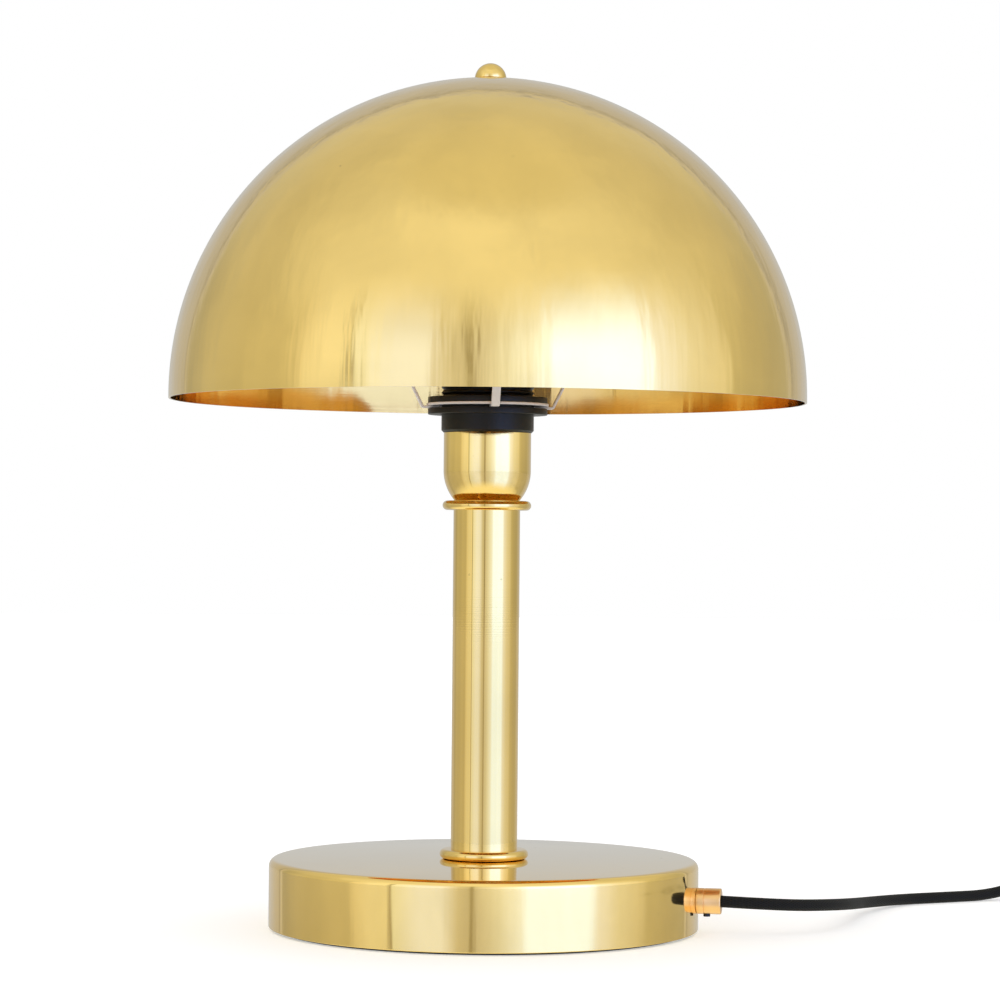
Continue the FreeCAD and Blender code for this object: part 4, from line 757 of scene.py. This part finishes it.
class LAMP_OT_lampholder(bpy.types.Operator):
    """Threaded lampholder with its two shade rings, in a brass cup"""

    bl_idname = "lamp.lampholder"
    bl_label = "Lampholder and cup"

    def execute(self, context):
        shape = context.scene.lamp_shape
        pitch, depth = shape.thread_pitch, shape.thread_depth
        low, high, wide = top("lampholder_cup"), top("lampholder_skirt"), reach("lampholder_skirt")
        hole, neck, inner, ledge = 16.4, 19.4, 18.4, 2
        end = low - 6  # the neck stands in the cup
        level = top("upper_shade_ring") - 3
        outline = [(hole, end), (neck, end), (neck, low), (wide - 1, low), (wide, low + 1), (wide, level)]
        while level + pitch < high - 0.6:
            outline += [(wide - depth, level + pitch * 0.38, 0.25), (wide - depth, level + pitch * 0.5, 0.25),
                        (wide, level + pitch * 0.88, 0.12), (wide, level + pitch)]
            level += pitch
        outline += [(wide, high - 0.5, 0.2), (wide - 0.5, high), (inner, high), (inner, low + ledge),
                    (hole, low + ledge)]
        skirt = turned("lampholder_body", closed(outline))
        dress(skirt, "root", "black_moulding", "moulding", "lampholder_skirt")
        for place in ("lower", "upper"):
            ring = disc(f"{place}_ring", f"{place}_shade_ring", 22.0, 0.35, 0.3)
            dress(ring, "root", "black_moulding", "moulding", f"{place}_shade_ring")

        low, high, wide = foot("lampholder_cup"), top("lampholder_cup"), reach("lampholder_cup")
        bend, height, wall = 21.3, 14.1, 1.0
        centre = (wide - bend, low + height)
        turn, inner_turn = (math.degrees(math.asin((height - less) / (bend - less))) for less in (0, wall))
        outer_foot = centre[0] + bend * math.cos(math.radians(turn))
        cup = turned("holder_cup", closed([
            (ROD_BORE, low), (outer_foot, low, 0.3), (centre, turn, 32), (wide, high, 0.2),
            (wide - wall, high, 0.2), (wide - wall, centre[1]), (centre, -inner_turn, 24),
            (ROD_BORE, low + wall),
        ]))
        dress(cup, "root", "polished_brass", "brass", "lampholder_cup")
        coat("ceramic", "lampholder_insert")
        coat("plain brass", "screw_shell", "centre_contact", "terminal_screws")
        coat("zinc", "cup_washer", "cup_nut")
        coat("live", "live_wire")
        coat("neutral", "neutral_wire")
        return {"FINISHED"}


class LAMP_OT_stem(bpy.types.Operator):
    """Brass stem between its two round-edged collars"""

    bl_idname = "lamp.stem"
    bl_label = "Stem and collars"

    def execute(self, context):
        wall = 1.5
        low, high, wide = foot("stem_tube"), top("stem_tube"), reach("stem_tube")
        inner = wide - wall
        stem = turned("stem_column", closed([(inner, low), (wide, low), (wide, high), (inner, high)]))
        dress(stem, "root", "polished_brass", "brass", "stem_tube")
        for name, node, below, above in (("stem_foot_collar", "lower_collar", "base_cover", "stem_tube"),
                                         ("stem_top_collar", "upper_collar", "stem_tube", "lampholder_cup")):
            low, high, wide = top(below), foot(above), reach(node)
            edge = 0.49 * (high - low)
            outline = [(ROD_BORE, low), (wide, low, edge), (wide, high, edge), (ROD_BORE, high)]
            collar = turned(name, closed(outline))
            dress(collar, "root", "polished_brass", "brass", node)
        coat("zinc", "threaded_rod")
        return {"FINISHED"}


class LAMP_OT_base(bpy.types.Operator):
    """Spun base cover with the weight, plate and felt under it"""

    bl_idname = "lamp.base"
    bl_label = "Base"

    def execute(self, context):
        low, high, wide = foot("base_cover"), top("base_cover"), reach("base_cover")
        wall = 1.2
        inner = wide - wall
        cover = turned("base_drum", closed([
            (ROD_BORE, high), (ROD_BORE, high - wall), (inner, high - wall, 2.3), (inner, low),
            (wide, low, 0.4), (wide, high, 3.5),
        ]), steps=320)
        # the base cover takes the lighter copy of the brass, painted light
        dress(cover, "root", "polished_brass", "base brass", "base_cover")
        edge, thick = reach("felt_pad"), 2
        pad = turned("base_felt", [(0, 0), (edge, 0, 0.5), (edge, thick, 0.3), (0, thick)])
        dress(pad, "root", "felt", "felt", "felt_pad")
        coat("zinc", "base_plate", "base_washer", "base_nut", "base_screws", "cord_grip_nut")
        coat("iron", "base_weight")

        turn, level = math.radians(-10), 15.8
        axis = Vector((math.cos(turn), math.sin(turn), 0))
        bore, sleeve, thread = 2.87, 6, 5
        near, far, end = wide + 0.06, wide + 11.4, wide - 10.7
        mark = near + 3.5  # the middle of the groove round the sleeve
        grip = turned("grip_sleeve", closed([
            (bore, far), (sleeve, far, 0.6), (sleeve, mark + 0.2, 0.1), (sleeve - 0.25, mark + 0.1),
            (sleeve - 0.25, mark - 0.1), (sleeve, mark - 0.2, 0.1), (sleeve, near, 0.2), (thread, near),
            (thread, end), (bore, end),
        ]), steps=96, centre=(0, 0, level), axis=axis)
        dress(grip, "root", "copper_brass", "copper", "cord_grip")
        coat("dark steel", "cord_grip_screw")
        return {"FINISHED"}


class LAMP_OT_bulb(bpy.types.Operator):
    """Opal light bulb with its screw cap"""

    bl_idname = "lamp.bulb"
    bl_label = "Light bulb"

    def execute(self, context):
        ball, crown, start = 30, top("bulb_glass"), math.radians(-40)
        inner, neck, brim = 11.9, 12.7, 14.6
        end, brim_foot, brim_top = 252.9, 260.0, 268.0
        centre = crown - ball
        glass = turned("bulb_envelope", closed([
            (inner, end), (neck, end), (neck, brim_foot - 0.1), (brim, brim_foot, 0.6), (brim, brim_top, 6.0),
            (ball * math.cos(start), centre + ball * math.sin(start), 8.0),
            ((0, centre), 130, 48), (0, crown - 0.8), ((0, centre), -100, 24), (inner, brim_foot + 2),
        ]), steps=128)
        dress(glass, "bulb", "opal_glass", "glass", "bulb_glass")

        low, high, wide = foot("bulb_cap"), top("bulb_cap"), reach("bulb_cap")
        wall, groove, pitch, turns = 0.4, 0.8, 3.6, 3
        start, inner = low + 4.3, wide - wall
        outline = [(wide, low), (wide, start, 0.5)]
        for number in range(turns):
            level = start + pitch * number
            outline += [(wide - groove, level + pitch / 2, 1.0), (wide, level + pitch, 1.0)]
        end = start + pitch * turns
        cap = turned("bulb_screw_cap", closed([
            *outline, (wide, high), (inner, high), (inner, end + 0.5), (inner - groove, end + 0.2),
            (inner - groove, start - 0.2), (inner, start - 0.5), (inner, low),
        ]), steps=96)
        dress(cap, "bulb", "bulb_metal", "cap metal", "bulb_cap")
        coat("cap metal", "bulb_contact")
        coat("insulator", "bulb_insulator")
        return {"FINISHED"}


CORD_RADIUS = 0.00275

# Points of the cord's line, in metres.
GRIP_EXIT = (0.11069, -0.01952, 0.0158)
BASE_TO_SWITCH = [
    GRIP_EXIT, (0.1284, -0.0226, 0.0152), (0.1477, -0.0174, 0.0140), (0.1653, -0.0010, 0.0126),
    (0.1773, 0.0287, 0.0098), (0.1864, 0.0717, 0.0054), (0.2099, 0.1120, 0.00275), (0.2370, 0.1250, 0.00275),
    (0.2610, 0.1370, 0.00275), (0.2840, 0.1470, 0.0090), (0.3050, 0.1470, 0.0090),
]
SWITCH_EXIT = (0.3650, 0.1470, 0.0090)
SWITCH_TO_COIL = [SWITCH_EXIT, (0.3890, 0.1470, 0.0090), (0.4095, 0.1327, 0.0070), (0.4202, 0.1091, 0.00405)]
COIL_TO_PLUG = [
    (0.4209, 0.0550, 0.00955), (0.4226, 0.0360, 0.0062), (0.4240, 0.0220, 0.00685), (0.4240, 0.0080, 0.00685),
]
COIL_CENTRE = (0.381, 0.0796)
COIL_RADIUS = 0.040
COIL_LEVEL = 0.00405
COIL_PITCH = 0.0061  # from one turn to the next, sideways and upwards
COIL_TURNS = 6
COIL_STEPS = 24  # points in a turn
COIL_LEAD = 0.0055  # straight stretch at both ends of the coil


def coil_point(turn):
    """The coil's line after a number of turns: half of them inwards below, then the others outwards above."""
    half, climb = COIL_TURNS // 2, 0.25
    away = abs(turn - half)
    if away < climb:
        away = away**2 / (2 * climb) + climb / 2
    radius = COIL_RADIUS - COIL_PITCH * (half - away)
    share = min(max((turn - half + climb) / (2 * climb), 0), 1)
    height = COIL_LEVEL + COIL_PITCH * share**2 * (3 - 2 * share)
    angle = -math.tau * turn
    return (COIL_CENTRE[0] + radius * math.cos(angle), COIL_CENTRE[1] + radius * math.sin(angle), height)


def coil_way(turn):
    """The direction of the coil's line after a number of turns."""
    step = 1e-4
    return (Vector(coil_point(turn + step)) - Vector(coil_point(turn - step))).normalized()


def cord_curve(name, points, steps):
    """A round cord on one smooth line."""
    curve = bpy.data.curves.new(name, "CURVE")
    curve.dimensions = "3D"
    curve.resolution_u = steps
    curve.bevel_depth = CORD_RADIUS
    curve.bevel_resolution = 5
    curve.use_fill_caps = True
    spline = curve.splines.new("NURBS")
    spline.points.add(len(points) - 1)
    for point, place in zip(spline.points, points):
        point.co = (*place, 1)
    spline.order_u = 3
    spline.use_endpoint_u = True
    piece = bpy.data.objects.new(name, curve)
    bpy.context.scene.collection.objects.link(piece)
    return piece


class LAMP_OT_cord(bpy.types.Operator):
    """Textile cord from the base to the switch, through the put-away coil and to the plug"""

    bl_idname = "lamp.cord"
    bl_label = "Cord"

    def execute(self, context):
        steps = context.scene.lamp_shape.cord_steps
        first = cord_curve("cord_base_to_switch", BASE_TO_SWITCH, steps)
        dress(first, "root", "black_cord", "braid to switch", "cord_from_base")

        coil = [coil_point(number / COIL_STEPS) for number in range(COIL_TURNS * COIL_STEPS + 1)]
        before = Vector(coil[0]) - coil_way(0) * COIL_LEAD
        after = Vector(coil[-1]) + coil_way(COIL_TURNS) * COIL_LEAD
        route = [*SWITCH_TO_COIL, tuple(before), *coil, tuple(after), *COIL_TO_PLUG]
        second = cord_curve("cord_switch_to_plug", route, max(3, steps // 2))
        dress(second, "root", "black_cord", "braid to plug", "cord_to_coil", "cord_coil", "cord_to_plug")

        coat("tie", "coil_tie")
        coat("lead", "inner_lead")
        hide_from_metal(second, *(node for name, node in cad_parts.items()
                                  if name.startswith(("coil_tie", "switch_", "plug_pins", "pin_sleeves"))))
        return {"FINISHED"}


class LAMP_OT_switch(bpy.types.Operator):
    """Inline rocker switch"""

    bl_idname = "lamp.switch"
    bl_label = "Cord switch"

    def execute(self, context):
        coat("plastic", "switch_base", "switch_cover")
        coat("rocker plastic", "switch_rocker")
        coat("plain brass", "switch_blocks", "switch_leaf")
        coat("zinc", "switch_pin", "switch_screws")
        return {"FINISHED"}


class LAMP_OT_plug(bpy.types.Operator):
    """Flat two-pin plug with its ribbed bend sleeve"""

    bl_idname = "lamp.plug"
    bl_label = "Plug"

    def execute(self, context):
        low, high = (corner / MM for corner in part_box("plug_body"))
        middle = (low.x + high.x) / 2
        half, rear, corner, obtuse = high.x - middle, 8.0, 4.4, 6.0
        shoulder = high.y - 18
        body = prism("plug_shell", [
            (-rear, high.y, corner), (-half, shoulder, obtuse), (-half, low.y, corner),
            (half, low.y, corner), (half, shoulder, obtuse), (rear, high.y, corner),
        ], 0, high.z, bevel=1.2, border=3.2, hollow=0.6, centre=(middle, 0))
        dress(body, "root", "black_plastic", "plastic", "plug_body")

        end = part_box("plug_sleeve")[1].y / MM
        length, thin, thick = end - high.y, 3.5, 5.2
        ribs, first, pitch = 6, 2.6, 3.6
        outline = [(0, 0), (thin, 0, 0.5)]
        for number in range(ribs):
            place = first + number * pitch
            wide = thin + (thick - thin) * place / length
            outline += [(wide, place, 0.3), (wide - 0.8, place + 0.3), (wide - 0.7, place + 1.2),
                        (wide + 0.1, place + 1.5, 0.3)]
        sleeve = turned("plug_bend_sleeve", [*outline, (thick, length), (0, length)], steps=64,
                        centre=(middle, end, high.z / 2), axis=(0, -1, 0))
        dress(sleeve, "root", "black_plastic", "plastic", "plug_sleeve")
        hide_from_metal(body, sleeve)
        coat("plastic", "pin_sleeves")
        coat("nickel", "plug_pins")
        return {"FINISHED"}


# ---------------- stage

WALL = (0.62, 0.62, 0.49)
NEAR_WALL = (0.69, 0.69, 0.545)
FRAME = (0.44, 0.44, 0.36)
SIDE_SCREEN = (1.05, 1.10, 1.04)
LEFT_LIGHT = (1.14, 1.38, 2.20)
GAP = (0.72, 0.76, 0.79)
RIGHT_LIGHT = (1.34, 1.92, 4.05)
ROOM = [  # what polished metal mirrors near the level, by direction: 0 is towards the camera, 90 to the right
    (-180, WALL), (-132, (0.50, 0.50, 0.39)), (-118, WALL), (-98, WALL), (-88, NEAR_WALL), (-75, NEAR_WALL),
    (-70, (0.92, 0.93, 0.81)), (-62, SIDE_SCREEN), (-51, SIDE_SCREEN), (-50.2, FRAME), (-48.8, FRAME),
    (-48, (1.05, 1.20, 1.39)), (-34, LEFT_LIGHT), (-22, LEFT_LIGHT), (-14, (0.86, 0.92, 1.00)), (-8, GAP),
    (-7, FRAME), (-5, FRAME), (-4, (0.80, 0.86, 0.97)), (4, (0.92, 1.04, 1.28)), (9, (1.02, 1.20, 1.62)),
    (19, (1.20, 1.52, 2.55)), (24, RIGHT_LIGHT), (57, RIGHT_LIGHT), (63, (1.12, 1.34, 2.16)),
    (76, (0.98, 1.08, 1.24)), (90, (0.88, 0.92, 0.89)), (97, (0.68, 0.69, 0.56)), (114, (0.58, 0.58, 0.46)),
    (132, (0.53, 0.53, 0.41)), (180, WALL),
]
SCREEN_EDGE = (0.42, 0.42, 0.38)
BACK = [  # and towards the back, by how far it lies behind: 1 is straight behind the lamp
    (0.70, (0.66, 0.66, 0.60)), (0.735, (0.62, 0.62, 0.57)), (0.748, SCREEN_EDGE), (0.762, SCREEN_EDGE),
    (0.775, (0.55, 0.55, 0.51)), (0.90, (0.56, 0.56, 0.54)), (1.0, (0.58, 0.58, 0.56)),
]


class LAMP_OT_stage(bpy.types.Operator):
    """Floor, room light and camera"""

    bl_idname = "lamp.stage"
    bl_label = "Stage"

    def execute(self, context):
        setting = context.scene.lamp_stage
        begin()
        bpy.ops.mesh.primitive_circle_add(vertices=96, radius=6, fill_type="NGON", location=(0, 0, 0))
        floor = context.object
        floor.name = "floor"
        shader = new_finish("pale_floor")
        shade = shader.mix(shader.noise(shader.place(), 3.0), (0.80, 0.80, 0.80), (0.84, 0.84, 0.84))
        diffuse = shader.gloss(Base_Color=shade, Roughness=0.7, Specular_IOR_Level=0.2)
        glow = shader.seen("Camera") * 0.36  # lifts the floor to white where it lies in no shadow
        white = shader.add("Emission", inputs={"Color": (1, 1, 1, 1), "Strength": glow})
        ground = shader.add("AddShader", inputs={0: diffuse, 1: white})
        clear = shader.add("BsdfTransparent")
        mirrored = shader.seen("Glossy") * setting.clear_floor
        floor.data.materials.append(shader.finish(
            shader.add("MixShader", inputs={0: mirrored, 1: ground, 2: clear})))

        world = bpy.data.worlds.new("room")
        context.scene.world = world
        room = Shader(world, "World")
        way = room.add("TexCoord", output="Generated")
        x, y, z = room.split(way)
        azimuth = room.add("Math", {"operation": "ARCTAN2"}, {0: x, 1: 0 - y}) / math.tau + 0.5
        brightest = 4  # a ramp's colours end at 1, so they are stored as parts of this
        stops = [((angle + 180) / 360, scaled(colour, 1 / brightest)) for angle, colour in ROOM]
        level = room.dim(room.add("ValToRGB", {"stops": stops}, {0: azimuth}), brightest)
        ceiling = room.mix(y.rise(-0.55, 0.45), (0.95, 0.98, 0.87), (0.69, 0.69, 0.55))
        ceiling = room.mix(z.rise(0.85, 0.98), ceiling, (0.78, 0.78, 0.61))
        light = room.mix(z.rise(0.22, 0.66), level, ceiling)
        uneven = room.noise(way, 2.2, 3.0, 0.5, 0.6).rise(0.3, 0.7, 0.95, 1.05)
        light = room.dim(light, z.rise(-0.05, 0.08, 0.85, 1.0) * uneven)
        light = room.mix(z.rise(-0.75, -0.40, 1.0, 0.0), light, (1.2, 1.2, 0.93))
        back = room.add("ValToRGB", {"stops": BACK}, {0: y})
        light = room.mix(y.rise(0.69, 0.72), light, back)
        light = room.mix(room.seen("Glossy"), (setting.room,) * 3, light)
        light = room.mix(room.seen("Camera"), light, (1.0, 1.0, 1.0))
        room.finish(room.add("Background", inputs={"Color": light, "Strength": 1.0}))

        data = bpy.data.cameras.new("camera")
        data.lens = setting.lens
        camera = bpy.data.objects.new("camera", data)
        context.scene.collection.objects.link(camera)
        camera.location = (setting.side, -setting.distance, setting.height)
        camera.rotation_euler = (math.radians(90.70), math.radians(-0.5), math.radians(-0.24))
        context.scene.camera = camera
        context.scene.view_settings.view_transform = "Standard"
        return {"FINISHED"}


# ---------------- add-on

class LAMP_PT_panel(bpy.types.Panel):
    """Lists the lamp's pieces"""

    bl_idname = "LAMP_PT_panel"
    bl_label = "Dome shade desk lamp"
    bl_space_type = "VIEW_3D"
    bl_region_type = "UI"
    bl_category = "Lamp"

    def draw(self, context):
        for group in (context.scene.lamp_shape, context.scene.lamp_colours, context.scene.lamp_stage):
            box = self.layout.box()
            for name in group.__annotations__:
                box.prop(group, name)
        for name in OPERATORS:
            self.layout.operator(f"lamp.{name}")


GROUPS = {"lamp_shape": LampShape, "lamp_colours": LampColours, "lamp_stage": LampStage}
OPERATORS = {  # in the order in which main() calls them
    "shade": LAMP_OT_shade, "carrier": LAMP_OT_carrier, "lampholder": LAMP_OT_lampholder,
    "stem": LAMP_OT_stem, "base": LAMP_OT_base, "bulb": LAMP_OT_bulb, "plug": LAMP_OT_plug,
    "cord": LAMP_OT_cord, "switch": LAMP_OT_switch, "stage": LAMP_OT_stage,
}


def register():
    for item in [*GROUPS.values(), *OPERATORS.values(), LAMP_PT_panel]:
        bpy.utils.register_class(item)
    for name, group in GROUPS.items():
        setattr(bpy.types.Scene, name, PointerProperty(type=group))


def unregister():
    for name in GROUPS:
        delattr(bpy.types.Scene, name)
    for item in reversed([*GROUPS.values(), *OPERATORS.values(), LAMP_PT_panel]):
        bpy.utils.unregister_class(item)


def main():
    """Builds the lamp and its stage."""
    register()
    make_finishes()
    for name in OPERATORS:
        getattr(bpy.ops.lamp, name)()


if __name__ == "__main__":
    main()
